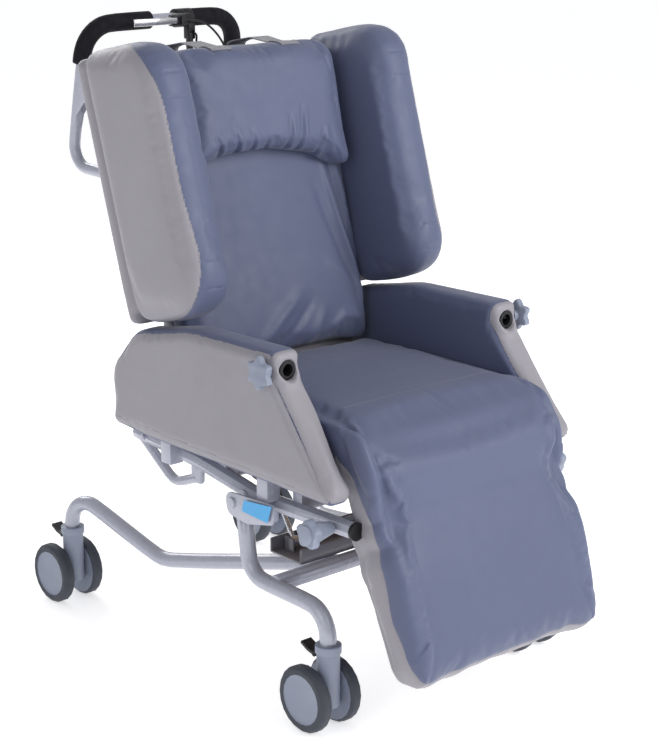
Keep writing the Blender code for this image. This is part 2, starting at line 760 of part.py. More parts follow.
handle = tube("push_handle", handle_path(), UPRIGHT_R)
for tag, side in SIDES:
    x = side * UPRIGHT_X
    start = (x, shell_front(HANDLE_STUB_Z, SHELL_THICK + UPRIGHT_R), HANDLE_STUB_Z)
    end = (x, handle_leg_y(HANDLE_STUB_Z), HANDLE_STUB_Z)
    handle = join(handle, rod(f"stub_{tag}", start, end, 0.010))
    sleeve = tube(f"upright_clearance_{tag}", upright_path(side), UPRIGHT_R + GAP)
    handle = cut(handle, sleeve)
place(handle, BACK, SILVER_PAINT)


def grip(tag, side):
    """A foam sleeve over the handle's shoulder, from the bare middle of the bar down the leg."""
    x = side * UPRIGHT_X
    start = (side * GRIP_INNER_ENDS[tag], HANDLE_Y, HANDLE_TOP_Z)
    corner = (x, HANDLE_Y, HANDLE_TOP_Z)
    end = (x, handle_leg_y(GRIP_LOW_Z), GRIP_LOW_Z)
    path = rounded([start, corner, end], [0, HANDLE_BEND, 0], step=radians(18))
    foam = tube(f"grip_{tag}", path, GRIP_R)
    bar = tube(f"bar_clearance_{tag}", handle_path(), UPRIGHT_R + GAP)
    place(cut(foam, bar), BACK, BLACK_FOAM)


for tag, side in SIDES:
    grip(tag, side)

shell_outline = rounded(
    [
        (shell_front(0.660), 0.660),
        (shell_front(1.148), 1.148),
        (shell_front(1.140, SHELL_THICK), 1.140),
        (shell_front(0.720, SHELL_THICK), 0.720),
        (shell_front(0.660, SHELL_THICK - 0.006), 0.657),
    ],
    [0.004, 0.008, 0.008, 0.03, 0.012],
    closed=True,
)
shell = slab("back_shell", shell_outline, -0.296, 0.296, 0.004)
panel_outline = rounded(
    [
        (shell_front(0.586), 0.452),
        (shell_front(0.586), 0.586),
        (shell_front(0.680), 0.680),
        (shell_front(0.690, 0.015), 0.690),
        (0.2285, 0.665),
        (0.2285, 0.452),
    ],
    [0.01, 0, 0, 0, 0, 0.01],
    closed=True,
)
place(join(shell, slab("lower_panel", panel_outline, -0.226, 0.226, 0.003)), BACK, GREY_VINYL)

back_outline = rounded(
    [
        (0.133, 0.570),
        (shell_front(0.570, -0.0008), 0.570),
        (shell_front(1.150, -0.0008), 1.150),
        (0.268, 1.150),
    ],
    [0.018, 0.004, 0.015, 0.03],
    closed=True,
)
cushion = slab("back_cushion", back_outline, -0.228, 0.228, 0.010)
place(cushion, BACK, BLUE_VINYL)

WING_OUTLINE = rounded(
    [
        (0.128, 1.198),
        (-0.018, 0.7240),
        (0.196, 0.663),
        (shell_front(1.156, -0.0008), 1.156),
    ],
    [0.075, 0.070, 0.045, 0.028],
    closed=True,
)
for tag, side in SIDES:
    faces = sorted((side * WING_INNER_X, side * WING_OUTER_X))
    wing = slab(f"wing_{tag}", WING_OUTLINE, *faces, 0.024)
    place(wing, BACK, GREY_VINYL)

pillow_outline = rounded(
    [
        (0.148, 0.934),
        (0.2145, 0.926),
        (0.2665, 1.152),
        (0.2560, 1.172),
        (0.2040, 1.168),
    ],
    [0.02, 0.004, 0.01, 0.01, 0.042],
    closed=True,
)
pillow = slab("head_pillow", pillow_outline, -0.192, 0.192, 0.012)
place(pillow, BACK, BLUE_VINYL)

strap_path = rounded(
    [
        (0.222, 1.1765),
        (0.262, 1.1765),
        (shell_front(1.1525, SHELL_THICK + 0.0012), 1.1525),
        (shell_front(1.080, SHELL_THICK + 0.0012), 1.080),
    ],
    [0, 0.012, 0.004, 0],
)
for tag, side in SIDES:
    strap = ribbon(f"pillow_strap_{tag}", strap_path, side * 0.085, 0.048, 0.002)
    place(strap, BACK, WEBBING)


# ---- Handle levers --------------------------------------------------------------------------


def lever_clamp(name, x_middle, *arms):
    """A clamp ring round the handle bar with the arm that holds its lever, cut to clear the bar."""
    bar = (HANDLE_Y, HANDLE_TOP_Z)
    ring = cross_rod(name, x_middle - CLAMP_HALF, x_middle + CLAMP_HALF, bar, CLAMP_R)
    hole = cross_rod("bar_hole", x_middle - 0.02, x_middle + 0.02, bar, UPRIGHT_R + GAP)
    return cut(join(ring, *arms), hole)


# The tilt lever lies in front of the bar and points to the sitter's right.
x, y, z = TILT_LEVER_AT
head = box("lever_head", (x - 0.0095, y - 0.009, z - 0.0115), (0.0220, y + 0.009, z + 0.0115), 0.003)
neck_low = (0.0120, y + 0.006, z - 0.0115)
neck_high = (TILT_CLAMP_X + CLAMP_HALF, HANDLE_Y - UPRIGHT_R - 0.001, z + 0.0115)
mount = lever_clamp("tilt_lever_mount", TILT_CLAMP_X, head, box("lever_neck", neck_low, neck_high, 0.003))
mouth = box("lever_mouth", (x - 0.03, y - 0.02, z - 0.0080), (x + 0.0130, y + 0.0095, z + 0.0080))
pin = rod("lever_pin", (x, y, z - 0.010), (x, y, z + 0.010), LEVER_PIN_R)
place(join(cut(mount, mouth), pin), BACK, BLACK_PLASTIC)

blade_outline = rounded(
    [
        (x + 0.007, y + 0.006),
        (x - 0.012, y + 0.007),
        (x - 0.042, y - 0.001),
        (x - 0.099, y + 0.001),
        (x - 0.103, y - 0.004),
        (x - 0.044, y - 0.008),
        (x + 0.007, y - 0.006),
    ],
    [0.005, 0.02, 0.06, 0.002, 0.002, 0.06, 0.005],
    closed=True,
)
lever_axis = empty("tilt_lever_axis", TILT_LEVER_AT, BACK)
blade = slab("tilt_lever", blade_outline, z - 0.0072, z + 0.0072, 0.0015, "Z")
hole = rod("pin_hole", (x, y, z - 0.02), (x, y, z + 0.02), LEVER_PIN_R + 0.0004)
place(cut(blade, hole), lever_axis, STEEL)

# The recline lever hangs below the bar, beside the other's clamp.
x, y, z = RECLINE_LEVER_AT
low, high = (x - 0.0095, y - 0.009, z - 0.009), (x + 0.0095, y + 0.009, HANDLE_TOP_Z - 0.010)
arm = box("recline_arm", low, high, 0.003)
mount = lever_clamp("recline_lever_mount", x, arm)
mouth = box("lever_mouth", (x - 0.0055, y - 0.02, z - 0.02), (x + 0.0055, y + 0.02, z + 0.0095))
pin = rod("lever_pin", (x - 0.007, y, z), (x + 0.007, y, z), LEVER_PIN_R)
place(join(cut(mount, mouth), pin), BACK, BLACK_PLASTIC)

blade_outline = rounded(
    [
        (y + 0.006, z + 0.006),
        (y + 0.007, z - 0.020),
        (y + 0.001, z - 0.086),
        (y - 0.005, z - 0.089),
        (y - 0.006, z - 0.030),
        (y - 0.007, z + 0.006),
    ],
    [0.005, 0.02, 0.003, 0.003, 0.02, 0.005],
    closed=True,
)
lever_axis = empty("recline_lever_axis", RECLINE_LEVER_AT, BACK)
blade = slab("recline_lever", blade_outline, x - 0.0050, x + 0.0050, 0.0012)
hole = cross_rod("pin_hole", x - 0.02, x + 0.02, (y, z), LEVER_PIN_R + 0.0004)
place(cut(blade, hole), lever_axis, BLACK_PLASTIC)


# ---- Locking struts and their cables --------------------------------------------------------


def strut(name, x, cylinder_end, rod_end, cylinder_length, bodies, stroke):
    """A gas strut: the cylinder carries one eye and the sliding rod the other."""
    head, foot = Vector((x, *cylinder_end)), Vector((x, *rod_end))
    run = (foot - head).normalized()
    mouth = head + run * cylinder_length
    seat, slide = bodies

    barrel = rod(f"{name}_cylinder", head + run * 0.012, mouth, STRUT_TUBE_R)
    eye = cross_rod("eye", x - 0.010, x + 0.010, cylinder_end, 0.0085)
    neck = rod("neck", head, head + run * 0.016, 0.0060)
    pin_hole = cross_rod("pin_hole", x - 0.03, x + 0.03, cylinder_end, STRUT_PIN_R + 0.0004)
    bore = rod("bore", head + run * 0.022, mouth + run * 0.01, STRUT_ROD_R + 0.0004)
    place(cut(join(barrel, eye, neck), pin_hole, bore), seat, BLACK_PLASTIC)

    start = mouth - run * (stroke * 0.4 + 0.006)
    piston = rod(f"{name}_rod", start, foot, STRUT_ROD_R)
    eye = cross_rod("eye", x - 0.0075, x + 0.0075, rod_end, 0.0105)
    pin_hole = cross_rod("pin_hole", x - 0.03, x + 0.03, rod_end, ROD_EYE_BORE_R)
    place(cut(join(piston, eye), pin_hole), slide, STEEL)


tilt_turn = empty("tilt_strut_axis", (TILT_STRUT_X, *TILT_STRUT_HEAD), SEAT)
tilt_slide = empty("tilt_rod_axis", (TILT_STRUT_X, *TILT_STRUT_HEAD), tilt_turn)
bodies = (tilt_turn, tilt_slide)
strut("tilt_strut", TILT_STRUT_X, TILT_STRUT_HEAD, TILT_STRUT_FOOT, 0.084, bodies, 0.05)
recline_turn = empty("recline_strut_axis", (RECLINE_STRUT_X, *RECLINE_STRUT_FRONT), SEAT)
recline_slide = empty("recline_rod_axis", (RECLINE_STRUT_X, *RECLINE_STRUT_FRONT), recline_turn)
bodies = (recline_turn, recline_slide)
strut("recline_strut", RECLINE_STRUT_X, RECLINE_STRUT_FRONT, RECLINE_STRUT_REAR, 0.250, bodies, 0.10)


def smooth_path(points, per_span=3):
    """Points along the Catmull-Rom curve through points."""
    points = [Vector(p) for p in points]
    guides = [2 * points[0] - points[1], *points, 2 * points[-1] - points[-2]]
    path = []
    for i in range(1, len(guides) - 2):
        a, b, c, d = guides[i - 1 : i + 3]
        for k in range(per_span):
            t = k / per_span
            bend = (2 * a - 5 * b + 4 * c - d) * t**2 + (3 * b - a - 3 * c + d) * t**3
            path.append(0.5 * (2 * b + (c - a) * t + bend))
    path.append(points[-1])
    return path


def behind_back(x, z):
    return (x, shell_front(z, SHELL_THICK + 2 * UPRIGHT_R + 0.009), z)


TILT_CABLE_BACK = [
    (0.0223, 0.4645, 1.194),
    (0.042, 0.464, 1.193),
    (0.074, 0.464, 1.184),
    (0.110, 0.464, 1.152),
    (0.135, 0.458, 1.100),
    behind_back(0.135, 0.98),
    behind_back(0.120, 0.84),
    behind_back(0.110, 0.73),
    (0.100, 0.286, 0.60),
    (0.098, 0.290, 0.50),
    (0.096, 0.286, 0.448),
]
RECLINE_CABLE_BACK = [
    (0.0701, 0.500, 1.1630),
    (0.0768, 0.5005, 1.1575),
    (0.0775, 0.503, 1.140),
    (0.0740, 0.502, 1.100),
    (0.058, 0.484, 1.045),
    behind_back(0.040, 0.96),
    behind_back(0.034, 0.84),
    behind_back(0.034, 0.73),
    (0.036, 0.286, 0.60),
    (0.036, 0.290, 0.50),
    (0.034, 0.286, 0.448),
]
TILT_CABLE_SEAT = [
    (0.096, 0.283, 0.4435),
    (0.094, 0.272, 0.398),
    (0.088, 0.215, 0.386),
    (0.020, 0.130, 0.378),
    (-0.095, 0.055, 0.372),
    (-0.132, 0.014, 0.374),
    (-0.137, -0.004, 0.386),
]
RECLINE_CABLE_SEAT = [
    (0.034, 0.283, 0.4435),
    (0.030, 0.272, 0.395),
    (0.026, 0.200, 0.376),
    (0.026, 0.050, 0.372),
    (0.028, -0.120, 0.368),
    (0.036, -0.172, 0.366),
]
for name, route, body in (
    ("tilt_cable_back", TILT_CABLE_BACK, BACK),
    ("tilt_cable_seat", TILT_CABLE_SEAT, SEAT),
    ("recline_cable_back", RECLINE_CABLE_BACK, BACK),
    ("recline_cable_seat", RECLINE_CABLE_SEAT, SEAT),
):
    place(tube(name, smooth_path(route), 0.0024, 2), body, BLACK_PLASTIC)


# ---- Centre the footprint on the origin -----------------------------------------------------

CHAIR.location.y = FRAME_SHIFT_Y
bpy.context.view_layer.update()
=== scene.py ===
"""Looks of the patient recliner chair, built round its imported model.

Metres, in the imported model's frame: the sitter faces -Y, and the sitter's right is -X. Suffix _r is the
sitter's right and _l the left. Soft pieces start from the model's own solids, are stuffed by a short
cloth simulation, and then get their seams and folds.
"""

import json
from math import cos, pi, radians, sin

import bmesh
import bpy
import numpy as np
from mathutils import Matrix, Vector
from mathutils.bvhtree import BVHTree


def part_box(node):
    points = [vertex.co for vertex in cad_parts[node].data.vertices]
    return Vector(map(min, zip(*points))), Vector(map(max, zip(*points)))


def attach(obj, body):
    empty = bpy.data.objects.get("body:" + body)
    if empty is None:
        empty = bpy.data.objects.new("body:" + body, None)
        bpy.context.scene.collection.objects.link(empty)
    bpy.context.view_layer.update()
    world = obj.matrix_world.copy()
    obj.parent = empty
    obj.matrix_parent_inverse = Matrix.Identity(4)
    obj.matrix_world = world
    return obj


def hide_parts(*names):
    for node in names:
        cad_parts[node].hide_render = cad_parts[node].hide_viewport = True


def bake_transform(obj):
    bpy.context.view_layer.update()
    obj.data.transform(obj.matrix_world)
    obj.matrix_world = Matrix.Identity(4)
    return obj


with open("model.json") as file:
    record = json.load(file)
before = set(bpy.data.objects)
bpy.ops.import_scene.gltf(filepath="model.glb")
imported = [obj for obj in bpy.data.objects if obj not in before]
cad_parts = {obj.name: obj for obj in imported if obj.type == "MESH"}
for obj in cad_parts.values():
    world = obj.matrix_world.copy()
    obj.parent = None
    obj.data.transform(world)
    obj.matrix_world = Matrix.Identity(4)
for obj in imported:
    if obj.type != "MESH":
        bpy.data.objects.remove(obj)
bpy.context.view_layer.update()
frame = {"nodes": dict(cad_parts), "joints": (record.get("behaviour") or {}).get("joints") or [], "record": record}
NODES = frame["nodes"]
SIDES = (("r", -1.0), ("l", 1.0))
JOINTS = {joint["name"]: joint for joint in frame["joints"]}


def joint_at(name):
    return Vector(JOINTS[name]["pos_m"])


LEG_AXIS = joint_at("leg_lift")
SEAT_LOW, SEAT_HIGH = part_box("seat_cushion")
BACK_LOW, BACK_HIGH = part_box("back_cushion")
PILLOW_LOW, PILLOW_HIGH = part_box("head_pillow")
WING_LOW, WING_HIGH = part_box("wing_l")
ARM_LOW, ARM_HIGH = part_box("armrest_l")
SHELL_LOW, SHELL_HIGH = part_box("back_shell")

# The leg rest hangs at this angle from the vertical.
LEG_LEAN = radians(27.2)
# The back leans so that it moves back by this much for each metre up; the shell's front plane is
# this far back at the shell's lower edge.
BACK_SLOPE = 0.3115
SHELL_FRONT_Y, SHELL_FRONT_Z = 0.1971, 0.799
SHELL_FOOT_Y = SHELL_FRONT_Y + (SHELL_LOW.z - SHELL_FRONT_Z) * BACK_SLOPE
# A step square to the leaning back is this much longer when it is measured along Y.
ALONG_Y = 1.0474


# ---- Camera, light and floor ----------------------------------------------------------------

TARGET = Vector((0.0, -0.0459, 0.5565))
CAMERA_AZIMUTH = radians(-41.4)
CAMERA_ELEVATION = radians(15.5)
CAMERA_DISTANCE = 3.58
CAMERA_LENS = 90.05
CAMERA_SENSOR = 36.0
FLOOR_SIZE = 40.0


def add_camera():
    data = bpy.data.cameras.new("camera")
    data.lens = CAMERA_LENS
    data.sensor_width = CAMERA_SENSOR
    camera = bpy.data.objects.new("camera", data)
    bpy.context.scene.collection.objects.link(camera)
    flat = cos(CAMERA_ELEVATION)
    back = Vector((sin(CAMERA_AZIMUTH) * flat, -cos(CAMERA_AZIMUTH) * flat, sin(CAMERA_ELEVATION)))
    camera.location = TARGET + back * CAMERA_DISTANCE
    camera.rotation_euler = (-back).to_track_quat("-Z", "Y").to_euler()
    bpy.context.scene.camera = camera


def add_light(name, at, aim, size, power, colour=(1.0, 1.0, 1.0)):
    data = bpy.data.lights.new(name, "AREA")
    data.shape = "DISK"
    data.size = size
    data.energy = power
    data.color = colour
    light = bpy.data.objects.new(name, data)
    light.location = at
    light.rotation_euler = (Vector(aim) - Vector(at)).to_track_quat("-Z", "Y").to_euler()
    bpy.context.scene.collection.objects.link(light)


def add_floor():
    bpy.ops.mesh.primitive_plane_add(size=FLOOR_SIZE)
    floor = bpy.context.active_object
    floor.name = "floor"
    finish = bpy.data.materials.new("pale_floor")
    finish.use_nodes = True
    shader = finish.node_tree.nodes["Principled BSDF"]
    shader.inputs["Base Color"].default_value = (0.90, 0.90, 0.91, 1.0)
    shader.inputs["Roughness"].default_value = 0.85
    shader.inputs["Specular IOR Level"].default_value = 0.1
    shader.inputs["Emission Color"].default_value = (1.0, 1.0, 1.0, 1.0)
    shader.inputs["Emission Strength"].default_value = 0.55
    floor.data.materials.append(finish)


def add_studio():
    world = bpy.data.worlds.new("studio")
    world.use_nodes = True
    backdrop = world.node_tree.nodes["Background"]
    backdrop.inputs["Color"].default_value = (0.97, 0.98, 1.0, 1.0)
    backdrop.inputs["Strength"].default_value = 0.50
    bpy.context.scene.world = world
    add_light("key", (1.3, -3.4, 2.6), (0, 0, 0.6), 2.4, 105)
    add_light("fill", (-3.6, -1.2, 2.2), (0, 0, 0.6), 2.6, 20)
    add_light("rim", (0.6, 3.4, 2.6), (0, 0, 0.8), 2.2, 45)
    bpy.context.scene.view_settings.view_transform = "Standard"


add_camera()
add_studio()
add_floor()


# ---- Materials ------------------------------------------------------------------------------


class Finish:
    """A procedural material in object coordinates, which are the row frame's metres."""

    def __init__(self, name, colour, roughness, metallic=0.0, **constants):
        self.material = bpy.data.materials.new(name)
        self.material.use_nodes = True
        self.tree = self.material.node_tree
        self.shader = self.tree.nodes["Principled BSDF"]
        self.colour = (*colour, 1.0)
        self.set("Base Color", self.colour)
        self.set("Roughness", roughness)
        self.set("Metallic", metallic)
        for socket, value in constants.items():
            self.set(socket.replace("_", " "), value)
        self.where = self.tree.nodes.new("ShaderNodeTexCoord").outputs["Object"]
        self.height = None

    def set(self, socket, value):
        self.shader.inputs[socket].default_value = value

    def node(self, kind, **inputs):
        made = self.tree.nodes.new(kind)
        for socket, value in inputs.items():
            target = made.inputs[socket.replace("_", " ")]
            if isinstance(value, bpy.types.NodeSocket):
                self.tree.links.new(value, target)
            else:
                target.default_value = value
        return made

    def stretched(self, scale):
        return self.node("ShaderNodeMapping", Vector=self.where, Scale=scale).outputs["Vector"]

    def noise(self, scale, detail=3.0, distortion=0.0, vector=None):
        vector = vector or self.where
        looks = {"Scale": scale, "Detail": detail, "Distortion": distortion}
        return self.node("ShaderNodeTexNoise", Vector=vector, **looks).outputs["Fac"]

    def cells(self, scale, feature="F1", vector=None):
        made = self.node("ShaderNodeTexVoronoi", Vector=vector or self.where, Scale=scale)
        made.feature = feature
        return made.outputs["Distance"]

    def waves(self, scale, axis, distortion=0.0, vector=None):
        made = self.node("ShaderNodeTexWave", Vector=vector or self.where, Scale=scale, Distortion=distortion)
        made.bands_direction = axis
        return made.outputs["Fac"]

    def spread(self, value, low, high, from_low=0.3, from_high=0.7):
        """Maps the middle of a texture's range to low..high."""
        made = self.node("ShaderNodeMapRange", Value=value)
        made.inputs["From Min"].default_value = from_low
        made.inputs["From Max"].default_value = from_high
        made.inputs["To Min"].default_value = low
        made.inputs["To Max"].default_value = high
        return made.outputs["Result"]

    def mix_colour(self, amount, other, base=None):
        """The base colour turned towards another by amount."""
        made = self.tree.nodes.new("ShaderNodeMix")
        made.data_type = "RGBA"
        self.tree.links.new(amount, made.inputs["Factor"])
        if base is None:
            made.inputs["A"].default_value = self.colour
        else:
            self.tree.links.new(base, made.inputs["A"])
        made.inputs["B"].default_value = (*other, 1.0)
        return made.outputs["Result"]

    def drive(self, socket, value):
        self.tree.links.new(value, self.shader.inputs[socket])

    def bump(self, value, distance, strength=1.0):
        """Adds a layer of relief of about this height in metres."""
        made = self.node("ShaderNodeBump", Height=value, Distance=distance, Strength=strength)
        if self.height is not None:
            self.tree.links.new(self.height, made.inputs["Normal"])
        self.height = made.outputs["Normal"]
        self.tree.links.new(self.height, self.shader.inputs["Normal"])

    def edge_wear(self, colour, amount=0.5, base=None):
        """Rubbed convex edges take another colour."""
        edges = self.tree.nodes.new("ShaderNodeNewGeometry").outputs["Pointiness"]
        return self.mix_colour(self.spread(edges, 0.0, amount, 0.52, 0.62), colour, base)


def darker(colour, share):
    return tuple(c * share for c in colour)


def vinyl(name, colour):
    """Soft upholstery vinyl: a fine leather grain, faint drape and uneven tone."""
    made = Finish(name, colour, 0.5, Sheen_Weight=0.18, Sheen_Roughness=0.45, Specular_IOR_Level=0.42)
    tone = made.spread(made.noise(5.0, 4.0), 0.0, 0.22)
    toned = made.mix_colour(tone, darker(colour, 0.72))
    specks = made.spread(made.cells(640.0), 0.16, 0.0, 0.05, 0.5)
    grained = made.mix_colour(specks, darker(colour, 0.6), toned)
    made.drive("Base Color", made.edge_wear(tuple(min(1.0, c * 1.5 + 0.03) for c in colour), 0.35, grained))
    made.drive("Roughness", made.spread(made.noise(38.0, 4.0), 0.44, 0.58))
    made.bump(made.noise(16.0, 2.0, 0.6), 0.0035, 0.16)
    made.bump(made.noise(75.0, 3.0), 0.0008, 0.16)
    made.bump(made.cells(620.0), 0.00035, 0.38)
    return made.material


def painted_metal(name, colour, roughness=0.26):
    """Powder coat with orange peel, and a duller tone where it is handled."""
    made = Finish(name, colour, roughness, 0.12, Coat_Weight=0.55, Coat_Roughness=0.14)
    scuffs = made.spread(made.noise(60.0, 6.0, 1.2), 0.0, 0.25, 0.58, 0.75)
    worn = made.mix_colour(scuffs, darker(colour, 0.62))
    made.drive("Base Color", made.edge_wear(darker(colour, 1.15), 0.4, worn))
    made.drive("Roughness", made.spread(made.noise(22.0, 5.0), roughness - 0.05, roughness + 0.12))
    made.bump(made.noise(420.0, 2.0), 0.00025, 0.22)
    return made.material


def moulded(name, colour, roughness, pore=900.0, depth=0.0002, **constants):
    """Moulded plastic with a fine sparked texture and rubbed edges."""
    made = Finish(name, colour, roughness, 0.0, **constants)
    tone = made.spread(made.noise(14.0, 4.0), 0.0, 0.3)
    lighter = tuple(min(1.0, c * 1.35 + 0.02) for c in colour)
    made.drive("Base Color", made.edge_wear(lighter, 0.5, made.mix_colour(tone, darker(colour, 0.75))))
    made.drive("Roughness", made.spread(made.noise(55.0, 4.0), roughness - 0.07, roughness + 0.1))
    made.bump(made.noise(pore, 2.0), depth, 0.4)
    return made.material


def foam_rubber(name):
    """Closed-cell foam sleeve: matt, with fine pores and shallow rub marks."""
    made = Finish(name, (0.006, 0.006, 0.009), 0.8, 0.0, Specular_IOR_Level=0.2)
    rubbed = made.spread(made.noise(30.0, 5.0), 0.0, 0.6)
    made.drive("Base Color", made.mix_colour(rubbed, (0.014, 0.014, 0.018)))
    made.drive("Roughness", made.spread(made.noise(80.0, 3.0), 0.68, 0.9))
    made.bump(made.cells(900.0), 0.0004, 0.5)
    made.bump(made.noise(120.0, 3.0), 0.0006, 0.3)
    return made.material


def steel(name, roughness, colour=(0.72, 0.72, 0.75)):
    made = Finish(name, colour, roughness, 1.0)
    lines = made.noise(40.0, 6.0, 0.0, made.stretched((1.0, 14.0, 14.0)))
    made.drive("Roughness", made.spread(lines, roughness - 0.04, roughness + 0.14))
    made.drive("Base Color", made.mix_colour(made.spread(lines, 0.0, 0.3), darker(colour, 0.7)))
    made.bump(lines, 0.0001, 0.2)
    return made.material


def plywood(name):
    made = Finish(name, (0.50, 0.35, 0.19), 0.6)
    grain = made.noise(9.0, 8.0, 0.8, made.stretched((16.0, 1.2, 1.0)))
    layers = made.waves(190.0, "Z", 0.4)
    toned = made.mix_colour(made.spread(grain, 0.0, 0.8), (0.30, 0.19, 0.09))
    made.drive("Base Color", made.mix_colour(made.spread(layers, 0.0, 0.45), (0.26, 0.16, 0.08), toned))
    made.bump(grain, 0.0004, 0.4)
    return made.material


def webbing(name, colour):
    """Woven strap: ribs along it, crossed by the weft."""
    made = Finish(name, colour, 0.75, 0.0, Sheen_Weight=0.3)
    ribs = made.waves(360.0, "X", 0.2)
    weft = made.waves(420.0, "Y", 0.2)
    weave = made.node("ShaderNodeMath")
    weave.operation = "MULTIPLY"
    made.tree.links.new(ribs, weave.inputs[0])
    made.tree.links.new(weft, weave.inputs[1])
    woven = weave.outputs["Value"]
    made.drive("Base Color", made.mix_colour(made.spread(woven, 0.55, 0.0, 0.0, 0.8), darker(colour, 0.55)))
    made.drive("Roughness", made.spread(made.noise(90.0, 3.0), 0.65, 0.85))
    made.bump(woven, 0.0006, 0.7)
    return made.material


BLUE = vinyl("blue_vinyl_look", (0.099, 0.117, 0.203))
GREY = vinyl("grey_vinyl_look", (0.298, 0.283, 0.315))
SILVER = painted_metal("silver_paint_look", (0.40, 0.41, 0.49))
NYLON = moulded("grey_nylon_look", (0.24, 0.27, 0.35), 0.42)
TYRE = moulded("tyre_look", (0.040, 0.045, 0.062), 0.6, 500.0, 0.0004)
BLACK = moulded("black_plastic_look", (0.008, 0.008, 0.010), 0.42, Specular_IOR_Level=0.35)
FOAM = foam_rubber("foam_look")
STEEL = steel("steel_look", 0.2)
PLY = plywood("plywood_look")
STRAP = webbing("strap_look", (0.30, 0.30, 0.34))
DARK = painted_metal("dark_paint_look", (0.16, 0.155, 0.18), 0.42)
STICKER = moulded("sticker_look", (0.02, 0.30, 0.62), 0.3, 300.0, 0.00005, Coat_Weight=0.4)


# ---- Mesh helpers ---------------------------------------------------------------------------


def points_of(obj):
    found = np.empty(len(obj.data.vertices) * 3)
    obj.data.vertices.foreach_get("co", found)
    return found.reshape(-1, 3)


def put_points(obj, points):
    obj.data.vertices.foreach_set("co", np.ascontiguousarray(points, dtype=np.float32).ravel())
    obj.data.update()


def normals_of(obj):
    found = np.empty(len(obj.data.vertices) * 3, dtype=np.float32)
    obj.data.vertex_normals.foreach_get("vector", found)
    return found.reshape(-1, 3).astype(float)


def ease(value, low, high):
    """0 below low, 1 above high, and a smooth step between; low may be the larger."""
    t = np.clip((value - low) / (high - low), 0.0, 1.0)
    return t * t * (3 - 2 * t)


def bell(value, width):
    return np.exp(-((value / width) ** 2))


def apply(obj, modifier):
    with bpy.context.temp_override(object=obj, active_object=obj, selected_objects=[obj]):
        bpy.ops.object.modifier_apply(modifier=modifier.name)


def from_nodes(name, *nodes, swell=0.0):
    """A new object holding copies of these nodes' meshes, each swollen a little."""
    shape = bmesh.new()
    for node in nodes:
        shape.from_mesh(NODES[node].data)
    bmesh.ops.remove_doubles(shape, verts=shape.verts, dist=0.00002)
    bmesh.ops.recalc_face_normals(shape, faces=shape.faces)
    shape.normal_update()
    for vert in shape.verts:
        vert.co += vert.normal * swell
    mesh = bpy.data.meshes.new(name)
    shape.to_mesh(mesh)
    shape.free()
    return add(name, mesh)


def add(name, mesh):
    obj = bpy.data.objects.new(name, mesh)
    bpy.context.scene.collection.objects.link(obj)
    return obj


def remesh(obj, voxel):
    change = obj.modifiers.new("even_faces", "REMESH")
    change.mode = "VOXEL"
    change.voxel_size = voxel
    apply(obj, change)


def relax(obj, rounds, factor=0.5):
    change = obj.modifiers.new("relaxed", "SMOOTH")
    change.factor = factor
    change.iterations = rounds
    apply(obj, change)


def subdivide(obj, levels=1):
    change = obj.modifiers.new("fine_faces", "SUBSURF")
    change.levels = change.render_levels = levels
    apply(obj, change)


def stuff(obj, cap, free=None, pressure=4.0, frames=20):
    """Cloth blown up by its filling; a point moves no further than cap, times free at that point."""
    rest = points_of(obj)
    cloth = obj.modifiers.new("stuffing", "CLOTH")
    cloth.settings.quality = 4
    cloth.settings.use_pressure = True
    cloth.settings.uniform_pressure_force = pressure
    cloth.settings.effector_weights.gravity = 0.0
    cloth.settings.shrink_min = -0.01
    cloth.collision_settings.use_collision = False
    scene = bpy.context.scene
    scene.frame_start, scene.frame_end = 1, frames
    for step in range(1, frames + 1):
        scene.frame_set(step)
    graph = bpy.context.evaluated_depsgraph_get()
    blown = points_of(obj.evaluated_get(graph))
    obj.modifiers.remove(cloth)
    scene.frame_set(1)
    move = blown - rest
    length = np.linalg.norm(move, axis=1, keepdims=True)
    move *= cap * np.tanh(length / cap) / np.maximum(length, 1e-9)
    if free is not None:
        move *= free(rest)[:, None]
    put_points(obj, rest + move)


def push(obj, amount):
    """Moves each point out along its normal by amount(points)."""
    at = points_of(obj)
    put_points(obj, at + normals_of(obj) * amount(at)[:, None])


def to_line(points, line):
    """Distance from 2D points to a polyline, and how far along it (0 to 1) the nearest place is."""
    best = np.full(len(points), 1e9)
    along = np.zeros(len(points))
    spans = [np.subtract(b, a) for a, b in zip(line, line[1:])]
    lengths = [float(np.hypot(*span)) for span in spans]
    walked = 0.0
    for start, span, length in zip(line, spans, lengths):
        offset = points - np.asarray(start)
        t = np.clip(offset @ span / length**2, 0.0, 1.0)
        gap = np.linalg.norm(offset - t[:, None] * span, axis=1)
        closer = gap < best
        best = np.where(closer, gap, best)
        along = np.where(closer, (walked + t * length) / sum(lengths), along)
        walked += length
    return best, along


def rounded_line(line, rounds):
    """The polyline with its corners cut off, again and again, so that it curves."""
    for _ in range(rounds):
        cut = [line[0]]
        for a, b in zip(line, line[1:]):
            cut.append(tuple(0.75 * np.array(a) + 0.25 * np.array(b)))
            cut.append(tuple(0.25 * np.array(a) + 0.75 * np.array(b)))
        line = cut + [line[-1]]
    return line


def winding(points, corners):
    """Which 2D points lie inside this closed outline."""
    inside = np.zeros(len(points), bool)
    for a, b in zip(corners, corners[1:] + corners[:1]):
        spans = (a[1] > points[:, 1]) != (b[1] > points[:, 1])
        if a[1] != b[1]:
            crossing = a[0] + (points[:, 1] - a[1]) * (b[0] - a[0]) / (b[1] - a[1])
            inside ^= spans & (points[:, 0] < crossing)
    return inside


